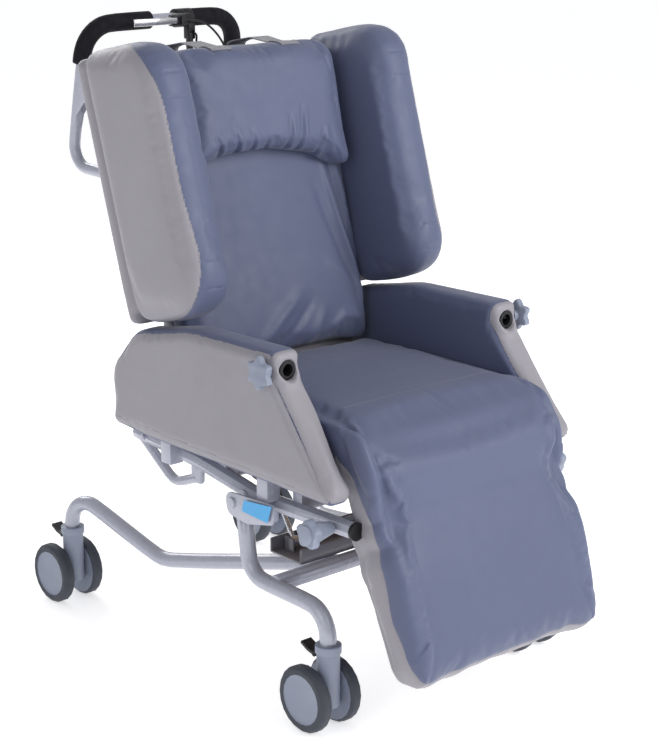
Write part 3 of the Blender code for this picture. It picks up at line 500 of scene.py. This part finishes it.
def score(obj, field, where=None):
    """Cuts the faces along the line where field(points) is zero, only where where(points) holds.

    Returns the new points' indices."""
    at = points_of(obj)
    values = field(at)
    allowed = np.ones(len(at), bool) if where is None else where(at)
    shape = bmesh.new()
    shape.from_mesh(obj.data)
    shape.verts.ensure_lookup_table()
    made = []
    for edge in list(shape.edges):
        a, b = (vert.index for vert in edge.verts)
        if values[a] * values[b] < 0 and allowed[a] and allowed[b]:
            share = values[a] / (values[a] - values[b])
            _, vert = bmesh.utils.edge_split(edge, edge.verts[0], min(0.98, max(0.02, share)))
            made.append(vert)
    bmesh.ops.connect_verts(shape, verts=made)
    shape.verts.index_update()
    found = [vert.index for vert in made]
    shape.to_mesh(obj.data)
    shape.free()
    return found


def seam(obj, field, where=None, depth=0.0016, width=0.004):
    """A sewn seam where field is zero: the line is cut in and drawn below the surface."""
    line = score(obj, field, where)
    at = points_of(obj)
    sunk = depth * 0.55 * bell(field(at), width)
    if where is not None:
        sunk *= where(at)
    sunk[line] = depth
    put_points(obj, at - normals_of(obj) * sunk[:, None])


def paint(obj, *materials):
    obj.data.materials.clear()
    for one in materials:
        obj.data.materials.append(one)
    obj.data.polygons.foreach_set("use_smooth", np.ones(len(obj.data.polygons), bool))
    obj.data.update()


def split(obj, field, name, material):
    """Takes the faces where field is above zero out of obj, as a new object with that material."""
    shape = bmesh.new()
    shape.from_mesh(obj.data)
    centres = np.array([face.calc_center_median() for face in shape.faces])
    taken = field(centres) > 0
    other = shape.copy()
    for mesh, keep, holder in ((shape, ~taken, None), (other, taken, name)):
        mesh.faces.ensure_lookup_table()
        doomed = [face for face, kept in zip(mesh.faces, keep) if not kept]
        bmesh.ops.delete(mesh, geom=doomed, context="FACES")
        if holder is None:
            mesh.to_mesh(obj.data)
        else:
            data = bpy.data.meshes.new(name)
            mesh.to_mesh(data)
            piece = add(name, data)
        mesh.free()
    paint(piece, material)
    return piece


def cushion(obj, body, stands_for):
    """Hides the nodes that a padded piece stands for, and hangs the piece on its body when it has one."""
    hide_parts(*stands_for)
    if body:
        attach(obj, body)


# ---- Wings and back shell -------------------------------------------------------------------

# The sewn edge of the wings' grey outer panel, as (Y, Z), from the shell over the top to its foot.
WING_SEAM = [
    (0.330, 1.150), (0.300, 1.172), (0.224, 1.188), (0.154, 1.184), (0.118, 1.172), (0.085, 1.146),
    (0.061, 1.112), (0.027, 0.998), (0.003, 0.921), (-0.039, 0.807), (-0.043, 0.775), (-0.034, 0.742),
    (-0.002, 0.708), (0.067, 0.681), (0.110, 0.676), (0.165, 0.676),
]
# A place behind the seam's two ends, which closes its outline.
WING_SEAM_REAR = (0.34, 0.93)
# The grey panel reaches this far in from the wing's outer face, and the front roll starts here.
WING_PANEL_DEPTH = 0.028
WING_ROLL_EDGE = 0.018
WING_SWELL = 0.0048
# The front roll's cross seams stand where its corner curves begin and end, as heights.
WING_CROSS_SEAMS = (0.762, 0.812, 1.098, 1.142)
SHELL_THICK = 0.031
# The rear panel's sewn edge: this far in from the sides and from the top, and its lowest height.
REAR_PANEL_SIDE = 0.012
REAR_PANEL_TOP = 0.020
REAR_PANEL_FOOT = 0.684


def behind_front(at):
    """How far behind the back shell's front plane each point is."""
    level = (at[:, 2] - SHELL_LOW.z) * BACK_SLOPE
    return (at[:, 1] - SHELL_FOOT_Y - level) / ALONG_Y


def make_back_cover():
    """The wings and the shell share one grey cover; the wings' rims and inner sides are blue."""
    cover = from_nodes("back_cover", "wing_r", "wing_l", "back_shell", swell=0.0009)
    remesh(cover, 0.0055)
    outer = WING_HIGH.x
    at = points_of(cover)
    behind = behind_front(at)
    # The shell's sides move out to the wings' outer faces, so that the two read as one cover.
    flank = ease(np.abs(normals_of(cover)[:, 0]), 0.35, 0.9) * ease(behind, -0.012, 0.0)
    flank *= ease(np.abs(at[:, 0]), 0.27, 0.29)
    reach = (outer - 0.0015 - 0.006 * ease(behind, 0.010, SHELL_THICK)) - np.abs(at[:, 0])
    at[:, 0] += np.sign(at[:, 0]) * np.maximum(reach, 0.0) * flank
    put_points(cover, at)
    relax(cover, 6)
    push(cover, lambda at: WING_SWELL * ease(behind_front(at), 0.0, -0.03))
    smooth_seam = rounded_line(WING_SEAM, 3)

    def seam_place(at):
        """Above zero inside the seam's outline, on the outer side of each wing."""
        gap = to_line(at[:, 1:], smooth_seam)[0]
        inside = winding(at[:, 1:], smooth_seam + [WING_SEAM_REAR])
        panel = np.where(inside, gap, -gap)
        return np.minimum(panel, np.abs(at[:, 0]) - (outer - WING_PANEL_DEPTH))

    def free(at):
        before = ease(behind_front(at), -0.004, -0.05)
        return before * (1.0 - 0.65 * bell(seam_place(at), 0.010))

    stuff(cover, 0.0075, free)
    subdivide(cover)

    def beyond_seam(at):
        return np.maximum(seam_place(at), (behind_front(at) + 0.004))

    seam(cover, beyond_seam, lambda at: behind_front(at) < 0.02)
    for height in WING_CROSS_SEAMS:

        def on_roll(at):
            inside = np.abs(at[:, 0])
            wide = (inside < outer - WING_ROLL_EDGE) & (inside > WING_LOW.x + 0.020)
            front = behind_front(at) < -0.16 - 0.20 * np.abs(at[:, 2] - 0.96)
            return wide & front

        seam(cover, lambda at, height=height: at[:, 2] - height, on_roll, 0.0011, 0.003)
    shell_edge = SHELL_HIGH.x - REAR_PANEL_SIDE

    def inside_edge(at):
        sides = shell_edge - np.abs(at[:, 0])
        top = SHELL_HIGH.z - REAR_PANEL_TOP - at[:, 2]
        return np.minimum(np.minimum(sides, top), at[:, 2] - REAR_PANEL_FOOT)

    def on_rear(at):
        return behind_front(at) > SHELL_THICK - 0.006

    seam(cover, inside_edge, on_rear, 0.0012, 0.003)
    paint(cover, BLUE)
    outside = split(cover, beyond_seam, "back_outer_cover", GREY)
    nodes = ["wing_r", "wing_l", "back_shell"]
    cushion(cover, "back", nodes[:2])
    cushion(outside, "back", nodes)


# ---- Armrests -------------------------------------------------------------------------------

# The front edge seen from the side, from its foot up past the socket, as (Y, Z).
ARM_FRONT = [(-0.4020, 0.4550), (-0.3079, 0.5770), (-0.2479, 0.6520), (-0.2540, 0.7000)]
# The grey front panel is this wide round that line, and the side seam is this far in.
ARM_FRONT_PANEL = 0.012
ARM_SEAM_INSET = 0.0045
# The hem's stitching runs this far above the arm's lower edge, and rises to the rear.
ARM_HEM = 0.014
ARM_HEM_RISE = 0.0225
# The arms get this much narrower towards the foot of their front.
ARM_TAPER = 0.20


def make_armrest(tag, side):
    outer = ARM_HIGH.x - ARM_SEAM_INSET
    socket_low, socket_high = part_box(f"tray_socket_{tag}")
    socket = (socket_low + socket_high) / 2
    arm = from_nodes(f"armrest_cover_{tag}", f"armrest_{tag}")
    remesh(arm, 0.0045)

    def from_socket(at):
        near = np.hypot(at[:, 0] - socket.x, at[:, 2] - socket.z)
        return np.where(at[:, 1] < socket_high.y + 0.01, near, 1.0)

    def free(at):
        return ease(from_socket(at), 0.020, 0.034) * ease(at[:, 2], ARM_LOW.z, ARM_LOW.z + 0.03)

    at = points_of(arm)
    taper = ARM_TAPER * ease(at[:, 2], 0.60, 0.46) * ease(at[:, 1], -0.18, -0.34)
    at[:, 0] += side * (ARM_HIGH.x - side * at[:, 0]) * taper
    put_points(arm, at)
    before = points_of(arm)
    relax(arm, 5)
    held = free(before)[:, None]
    put_points(arm, before + (points_of(arm) - before) * held)
    stuff(arm, 0.004, free)
    subdivide(arm)

    def beyond_seam(at):
        return side * at[:, 0] - outer

    def on_front(at):
        return ARM_FRONT_PANEL - to_line(at[:, 1:], ARM_FRONT)[0]

    def grey(at):
        return np.maximum(beyond_seam(at), on_front(at))

    seam(arm, on_front, lambda at: from_socket(at) > 0.017)
    seam(arm, beyond_seam, lambda at: on_front(at) < 0.0)
    hem = ARM_LOW.z + ARM_HEM

    def above_hem(at):
        return at[:, 2] - hem - ARM_HEM_RISE * (at[:, 1] - ARM_LOW.y)

    seam(arm, above_hem, lambda at: side * at[:, 0] > outer - 0.02, 0.0008, 0.002)
    paint(arm, BLUE)
    panel = split(arm, grey, f"armrest_outer_panel_{tag}", GREY)
    cushion(arm, "seat", [f"armrest_{tag}"])
    cushion(panel, "seat", [f"armrest_{tag}"])


# ---- Seat and leg rest cover ----------------------------------------------------------------

# How far down from its axis the leg rest's foot is.
PAD_FOOT = 0.320
SEAT_CROWN = 0.006
FLANK_BULGE = 0.014
KNEE_BULGE = 0.011
FOOT_BULGE = 0.009
# The hem's slack at the foot: waves across it, each with its height, turns per metre and shift.
FOOT_WAVES = [(0.0016, 41, 0.6), (0.0009, 97, 2.0)]
# Distances behind the leg rest's axis and down its front; a point is worked out from them, and not used.
BEND_BEHIND = 0.080
BEND_DOWN = (0.150, 0.110)
# The leg rest's side seam: how far in front of the axis it is at each distance down from it.
LEG_SEAM = [
    (-0.109, 0.039), (-0.064, 0.0575), (-0.004, 0.0685), (0.102, 0.070), (0.189, 0.059),
    (0.254, 0.056), (0.312, 0.060),
]
# Creases at the knee's two sides: a line as (X, Z), its width and its depth.
KNEE_FOLDS = [
    ([(-0.224, 0.500), (-0.196, 0.512), (-0.176, 0.506)], 0.005, -0.004),
    ([(-0.224, 0.478), (-0.200, 0.486), (-0.184, 0.470)], 0.006, -0.003),
    ([(0.226, 0.508), (0.204, 0.512), (0.190, 0.500)], 0.005, -0.003),
]


def leg_frame(at):
    """(how far down the leg rest from its axis, how far in front of it) of each point."""
    y, z = at[:, 1] - LEG_AXIS.y, at[:, 2] - LEG_AXIS.z
    down = -y * sin(LEG_LEAN) - z * cos(LEG_LEAN)
    out = -y * cos(LEG_LEAN) + z * sin(LEG_LEAN)
    return down, out


def make_seat_cover():
    """One cover from the seat's rear edge over the knee to the foot of the leg rest."""
    cover = from_nodes("seat_cover", "seat_cushion", "knee_roll", "legrest_pad", swell=0.0016)
    remesh(cover, 0.0065)
    relax(cover, 14)
    half = SEAT_HIGH.x

    def free(at):
        down, out = leg_frame(at)
        side_free = 1.0 - 0.85 * ease(np.abs(at[:, 0]), half - 0.022, half - 0.002)
        on_seat = ease(at[:, 2], SEAT_LOW.z + 0.03, SEAT_LOW.z + 0.09)
        on_leg = ease(down, 0.03, 0.07)
        under = np.maximum(on_seat * 0.6 + 0.2, on_leg)
        return np.maximum(side_free, on_leg) * np.where(out > 0.03, 1.0, under)

    stuff(cover, 0.011, free)
    subdivide(cover)
    at = points_of(cover)
    down, out = leg_frame(at)
    normal = normals_of(cover)
    across = np.abs(at[:, 0]) / half
    crown = SEAT_CROWN * (1 - across**2) * ease(normal[:, 2], 0.5, 0.9) * ease(at[:, 1], -0.36, -0.2)
    # The leg rest's flanks and the knee's ends bulge clear of the armrests' inner faces.
    flank = ease(np.abs(normal[:, 0]), 0.2, 0.8)
    fat = np.sin(np.clip((down + 0.15) / (PAD_FOOT + 0.17), 0, 1) * pi) * ease(down, -0.17, -0.06)
    crown += FLANK_BULGE * flank * fat * ease(out, 0.010, 0.045)
    ahead = np.interp(at[:, 2], *zip(*[(z, y) for y, z in ARM_FRONT])) - at[:, 1]
    crown += KNEE_BULGE * flank * ease(ahead, 0.0, 0.03) * ease(down, 0.02, -0.02)
    crown += FOOT_BULGE * flank * ease(down, 0.05, 0.10) * ease(PAD_FOOT - down, 0.0, 0.06) * (out < 0.12)
    wavy = sum(height * np.sin(at[:, 0] * turns + shift) for height, turns, shift in FOOT_WAVES)
    foot = ease(down, PAD_FOOT - 0.060, PAD_FOOT - 0.004)
    sag = foot * (0.6 + 0.8 * across**2) * wavy
    folds = np.zeros(len(at))
    for line, width, depth in KNEE_FOLDS:
        gap, along = to_line(np.stack([at[:, 0], at[:, 2]], axis=1), line)
        folds += depth * bell(gap, width) * np.sin(np.clip(along, 0, 1) * pi) ** 0.5 * (normal[:, 1] < 0.3)
    put_points(cover, at + normal * (crown + sag + folds)[:, None])

    def on_leg_side(at):
        down, out = leg_frame(at)
        wave = 0.0018 * np.sin(down * 60) + 0.0016 * np.sin(at[:, 0] * 48 + 1.0)
        front = np.interp(down, *zip(*LEG_SEAM))
        rim = PAD_FOOT - 0.006 + wave * 0.7 - down
        side = np.minimum(front + wave - out, (down + 0.116) * 0.7)
        return np.maximum(side, np.minimum(-rim, 0.045 - out + 0.02))

    seam(cover, on_leg_side)
    paint(cover, BLUE)
    sides = split(cover, on_leg_side, "legrest_side_cover", GREY)
    nodes = ["seat_cushion", "knee_roll", "legrest_pad"]
    cushion(cover, None, nodes)
    cushion(sides, None, nodes[1:])
    ahead = -BEND_DOWN[0] * sin(LEG_LEAN) - BEND_BEHIND
    for piece in (cover, sides):
        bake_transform(piece)


# ---- Back cushion ---------------------------------------------------------------------------

# Drape of the loose cover: ridges and valleys on the front face, each a line as (X, Z), its half
# width and its height.
BACK_FOLDS = [
    ([(0.150, 0.930), (0.176, 0.800), (0.205, 0.690), (0.216, 0.580)], 0.007, 0.007),
    ([(0.168, 0.935), (0.194, 0.800), (0.214, 0.700)], 0.006, -0.006),
    ([(0.186, 0.930), (0.206, 0.810), (0.222, 0.700)], 0.007, 0.006),
    ([(0.125, 0.880), (0.165, 0.760), (0.196, 0.660), (0.214, 0.575)], 0.009, -0.005),
    ([(0.050, 0.690), (-0.020, 0.640), (-0.090, 0.580)], 0.013, 0.007),
    ([(0.070, 0.668), (0.020, 0.620), (-0.030, 0.575)], 0.010, -0.005),
    ([(0.100, 0.650), (0.075, 0.610), (0.050, 0.575)], 0.012, 0.005),
    ([(0.215, 0.605), (0.150, 0.622), (0.110, 0.600)], 0.010, 0.005),
    ([(0.218, 0.640), (0.170, 0.700), (0.120, 0.740)], 0.012, 0.0035),
    ([(-0.200, 0.905), (-0.190, 0.780), (-0.205, 0.660)], 0.012, -0.0035),
    ([(-0.215, 0.620), (-0.160, 0.600), (-0.110, 0.575)], 0.011, 0.004),
]


def add_folds(obj, folds, facing):
    at = points_of(obj)
    normal = normals_of(obj)
    front = ease(-normal[:, 1], 0.15, facing)
    flat = np.stack([at[:, 0], at[:, 2]], axis=1)
    total = np.zeros(len(at))
    for line, width, height in folds:
        gap, along = to_line(flat, line)
        total += height * bell(gap, width) * np.sin(np.clip(along, 0.02, 0.98) * pi) ** 0.6
    put_points(obj, at + normal * (total * front)[:, None])


# The cushion is fuller at this height, and its foot reaches this much further down to the seat.
LUMBAR_HEIGHT = 0.66
LUMBAR_DEPTH = 0.010
BACK_STRETCH = 0.012


def make_back_cushion():
    back = from_nodes("back_cushion_cover", "back_cushion", swell=0.003)
    remesh(back, 0.006)
    relax(back, 12)
    half = BACK_HIGH.x

    def free(at):
        rear = ease(at[:, 1] - at[:, 2] * BACK_SLOPE, -0.045, -0.075)
        return rear * (1.0 - 0.6 * ease(np.abs(at[:, 0]), half - 0.02, half))

    stuff(back, 0.012, free)
    subdivide(back)
    at = points_of(back)
    across = np.clip(np.abs(at[:, 0]) / half, 0, 1)
    front = ease(-normals_of(back)[:, 1], 0.3, 0.8)
    lumbar = LUMBAR_DEPTH * bell(at[:, 2] - LUMBAR_HEIGHT, 0.09)
    at[:, 1] -= front * (1 - across**2) * (0.006 + lumbar)
    at[:, 2] -= BACK_STRETCH * ease(at[:, 2], 0.63, BACK_LOW.z)
    put_points(back, at)
    add_folds(back, BACK_FOLDS, 0.6)
    paint(back, BLUE)
    cushion(back, "back", ["back_cushion"])


# ---- Head pillow ----------------------------------------------------------------------------

# Gathers run up from the lower edge; each is (X at the edge, X at its top, its top's height).
PILLOW_GATHERS = [
    (-0.118, -0.150, 1.010),
    (-0.082, -0.104, 1.018),
    (-0.048, -0.060, 1.012),
    (-0.016, -0.020, 1.000),
    (0.030, 0.040, 1.030),
    (0.058, 0.074, 1.045),
    (0.112, 0.120, 1.000),
]


# The lower edge's height across the pillow.
PILLOW_EDGE = [
    (-0.20, 0.952), (-0.12, 0.962), (0.0, 0.9625), (0.09, 0.949), (0.14, 0.934), (0.18, 0.917), (0.20, 0.908),
]


def make_pillow():
    pillow = from_nodes("pillow_cover", "head_pillow")
    remesh(pillow, 0.005)
    relax(pillow, 14)

    def free(at):
        edge = ease(np.abs(at[:, 0]), PILLOW_HIGH.x - 0.012, PILLOW_HIGH.x)
        rear = ease(at[:, 1] - at[:, 2] * BACK_SLOPE, -0.105, -0.125)
        return (1.0 - 0.8 * edge) * (0.2 + 0.8 * rear)

    stuff(pillow, 0.010, free)
    subdivide(pillow)
    at = points_of(pillow)
    across = np.abs(at[:, 0]) / PILLOW_HIGH.x
    # The lower edge is an arch that droops to a point at the sitter's left; the ends are slacker.
    droop = np.interp(at[:, 0], *zip(*PILLOW_EDGE))
    at[:, 2] += ease(at[:, 2], 1.06, PILLOW_LOW.z) * (droop - PILLOW_LOW.z - 0.004)
    at[:, 2] -= ease(at[:, 2], 1.08, PILLOW_HIGH.z) * 0.014 * across**3
    corner = bell(at[:, 0] - PILLOW_HIGH.x, 0.03) * ease(at[:, 2], 1.00, 0.93)
    at[:, 0] += 0.006 * corner
    put_points(pillow, at)
    gathers = []
    for foot_x, head_x, head_z in PILLOW_GATHERS:
        between = ((foot_x * 2 + head_x) / 3, (PILLOW_LOW.z + head_z) / 2)
        line = [(foot_x, PILLOW_LOW.z - 0.01), between, (head_x, head_z)]
        gathers.append((line, 0.0045, -0.0042))
        beside = [(x + 0.010, z) for x, z in line]
        gathers.append((beside, 0.005, 0.0022))
    gathers.append(([(0.150, 1.165), (0.172, 1.080), (0.178, 0.960), (0.180, 0.925)], 0.004, -0.004))
    gathers.append(([(0.140, 1.000), (0.150, 0.960), (0.170, 0.930)], 0.005, -0.003))
    add_folds(pillow, gathers, 0.5)
    paint(pillow, BLUE)
    cushion(pillow, "back", ["head_pillow"])
    return pillow


for tag, side in SIDES:
    make_armrest(tag, side)
make_back_cover()
make_seat_cover()
make_back_cushion()
PILLOW = make_pillow()


# ---- Pillow straps --------------------------------------------------------------------------

STRAP_HALF = 0.024
STRAP_THICK = 0.0019
# The strap's own face stands this far off the shell, and this far off the pillow.
STRAP_LIFT = 0.0012
STRAP_REST = 0.0009
STRAP_COLUMNS = (-1, -0.5, 0, 0.5, 1)
# The line inside the pillow's top that the straps are laid round.
STRAP_TURN = Vector((0.0, PILLOW_HIGH.y - 0.018, PILLOW_HIGH.z - 0.032))


def make_strap(tag, side):
    """A flat strap from the rear of the shell, over its top and laid on the pillow."""
    low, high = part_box(f"pillow_strap_{tag}")
    middle = (low.x + high.x) / 2
    pillow = BVHTree.FromObject(PILLOW, bpy.context.evaluated_depsgraph_get())
    rows = []
    for step in range(10):
        z = low.z + (SHELL_HIGH.z - low.z - 0.004) * step / 9
        y = SHELL_FOOT_Y + (z - SHELL_LOW.z) * BACK_SLOPE + (SHELL_THICK + STRAP_LIFT) * ALONG_Y
        rows.append([Vector((middle + STRAP_HALF * u, y, z)) for u in STRAP_COLUMNS])
    rear = rows[-1][0].y
    over = [(rear - 0.0065, SHELL_HIGH.z + 0.005), (rear - 0.018, SHELL_HIGH.z + 0.0095)]
    over += [(rear - 0.045, SHELL_HIGH.z + 0.0145), (rear - 0.075, SHELL_HIGH.z + 0.020)]
    rows += [[Vector((middle + STRAP_HALF * u, y, z)) for u in STRAP_COLUMNS] for y, z in over]
    for step in range(22):
        angle = radians(100 - 72 * step / 21)
        outward = Vector((0.0, -cos(angle), sin(angle)))
        row = []
        for u in STRAP_COLUMNS:
            centre = STRAP_TURN + Vector((middle + STRAP_HALF * u, 0.0, 0.0))
            hit = pillow.ray_cast(centre + outward * 0.2, -outward)[0]
            if hit is not None:
                row.append(hit + outward * STRAP_REST)
        if len(row) == len(STRAP_COLUMNS) and row[0].y < rows[-1][0].y - 0.002:
            rows.append(row)
    mesh = bpy.data.meshes.new(f"strap_cloth_{tag}")
    wide = len(rows[0])
    points = [point for row in rows for point in row]
    faces = [
        (r * wide + c, r * wide + c + 1, (r + 1) * wide + c + 1, (r + 1) * wide + c)
        for r in range(len(rows) - 1)
        for c in range(wide - 1)
    ]
    mesh.from_pydata(points, [], faces)
    strap = add(mesh.name, mesh)
    thick = strap.modifiers.new("thickness", "SOLIDIFY")
    thick.thickness = STRAP_THICK
    thick.offset = 1.0
    shape = bmesh.new()
    shape.from_mesh(mesh)
    bmesh.ops.recalc_face_normals(shape, faces=shape.faces)
    shape.faces.ensure_lookup_table()
    if shape.faces[0].normal.y < 0:
        bmesh.ops.reverse_faces(shape, faces=shape.faces)
    shape.to_mesh(mesh)
    shape.free()
    apply(strap, thick)
    paint(strap, STRAP)
    strap.data.set_sharp_from_angle(angle=radians(50))
    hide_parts(f"pillow_strap_{tag}")
    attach(strap, "back")


for tag, side in SIDES:
    make_strap(tag, side)


# ---- Hard parts -----------------------------------------------------------------------------

BY_SLOT = {
    "silver_paint": SILVER,
    "grey_plastic": NYLON,
    "dark_tyre": TYRE,
    "black_plastic": BLACK,
    "black_foam": FOAM,
    "steel": STEEL,
    "plywood": PLY,
    "webbing": STRAP,
    "dark_steel": DARK,
}
BODY_OF = {node: body for body, nodes in frame["record"]["behaviour"]["bodies"].items() for node in nodes}
SLOT_OF = {entry["node"]: entry["material_slot"] for entry in frame["record"]["subparts"]}
SOFT = ("seat_cushion", "knee_roll", "legrest_pad", "back_cushion", "head_pillow", "back_shell")
SOFT += ("wing_r", "wing_l", "armrest_r", "armrest_l", "pillow_strap_r", "pillow_strap_l")
# Bent bars and sleeves get finer faces; the value makes up for what that takes off their radius.
BARS = {
    "front_tube_r": 0.00055,
    "front_tube_l": 0.00055,
    "rear_leg_r": 0.00055,
    "rear_leg_l": 0.00055,
    "cross_tube": 0.0005,
    "push_handle": 0.0004,
    "grip_r": 0.0006,
    "grip_l": 0.0006,
    "tilt_cable_seat": 0.0001,
    "recline_cable_seat": 0.0001,
    "tilt_cable_back": 0.0001,
    "recline_cable_back": 0.0001,
}
HARD_ANGLE = radians(38)
HUB_RADIUS = 0.0462
EDGE_ROUNDING = 0.0007


def rounded_edges(obj):
    """Every sharp edge gets a narrow rounding that catches the light."""
    change = obj.modifiers.new("rounding", "BEVEL")
    change.width = EDGE_ROUNDING
    change.segments = 2
    change.limit_method = "ANGLE"
    change.angle_limit = HARD_ANGLE
    change.use_clamp_overlap = True
    apply(obj, change)


def finer_bar(obj, growth):
    """Quads all round, then one round of subdivision that keeps the end faces' rims."""
    shape = bmesh.new()
    shape.from_mesh(obj.data)
    bmesh.ops.join_triangles(
        shape, faces=shape.faces, angle_face_threshold=radians(25), angle_shape_threshold=radians(70)
    )
    crease = shape.edges.layers.float.new("crease_edge")
    for edge in shape.edges:
        if edge.calc_face_angle(0.0) > radians(50):
            edge[crease] = 1.0
    shape.to_mesh(obj.data)
    shape.free()
    subdivide(obj)
    push(obj, lambda at: np.full(len(at), growth))


def make_hard_part(node):
    made = from_nodes(f"{node}_fine", node)
    if node in BARS:
        finer_bar(made, BARS[node])
    else:
        rounded_edges(made)
    paint(made, BY_SLOT[SLOT_OF[node]])
    pieces = [(made, SLOT_OF[node])]
    if node.startswith("castor_wheels"):
        axle = joint_at(node.replace("castor_wheels", "wheel_spin"))

        def in_hub(at):
            return HUB_RADIUS - np.hypot(at[:, 1] - axle.y, at[:, 2] - axle.z)

        pieces.append((split(made, in_hub, f"{node}_hub", NYLON), "grey_plastic"))
    for piece, slot in pieces:
        piece.data.set_sharp_from_angle(angle=HARD_ANGLE)
        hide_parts(node)
        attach(piece, BODY_OF[node])


for entry in frame["record"]["subparts"]:
    if entry["node"] not in SOFT:
        make_hard_part(entry["node"])


# ---- Small fittings ---------------------------------------------------------------------------


def add_fitting(name, shape, material, body):
    mesh = bpy.data.meshes.new(name)
    shape.to_mesh(mesh)
    shape.free()
    piece = add(name, mesh)
    paint(piece, material)
    piece.data.set_sharp_from_angle(angle=HARD_ANGLE)
    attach(piece, body)


# A plain blue sticker on the outer face of the pivot plate: its corners as (Y, Z).
STICKER_CORNERS = [(-0.2229, 0.3950), (-0.1439, 0.3870), (-0.1379, 0.3650), (-0.2109, 0.3610)]


def make_sticker():
    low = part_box("pivot_plate_r")[0]
    shape = bmesh.new()
    x = low.x
    rims = [[shape.verts.new((x - lift, y, z)) for y, z in STICKER_CORNERS] for lift in (0.0002, 0.0006)]
    shape.faces.new(rims[0])
    shape.faces.new(reversed(rims[1]))
    for i in range(4):
        j = (i + 1) % 4
        shape.faces.new((rims[0][j], rims[0][i], rims[1][i], rims[1][j]))
    bmesh.ops.recalc_face_normals(shape, faces=shape.faces)
    add_fitting("plain_blue_sticker", shape, STICKER, "base")


make_sticker()
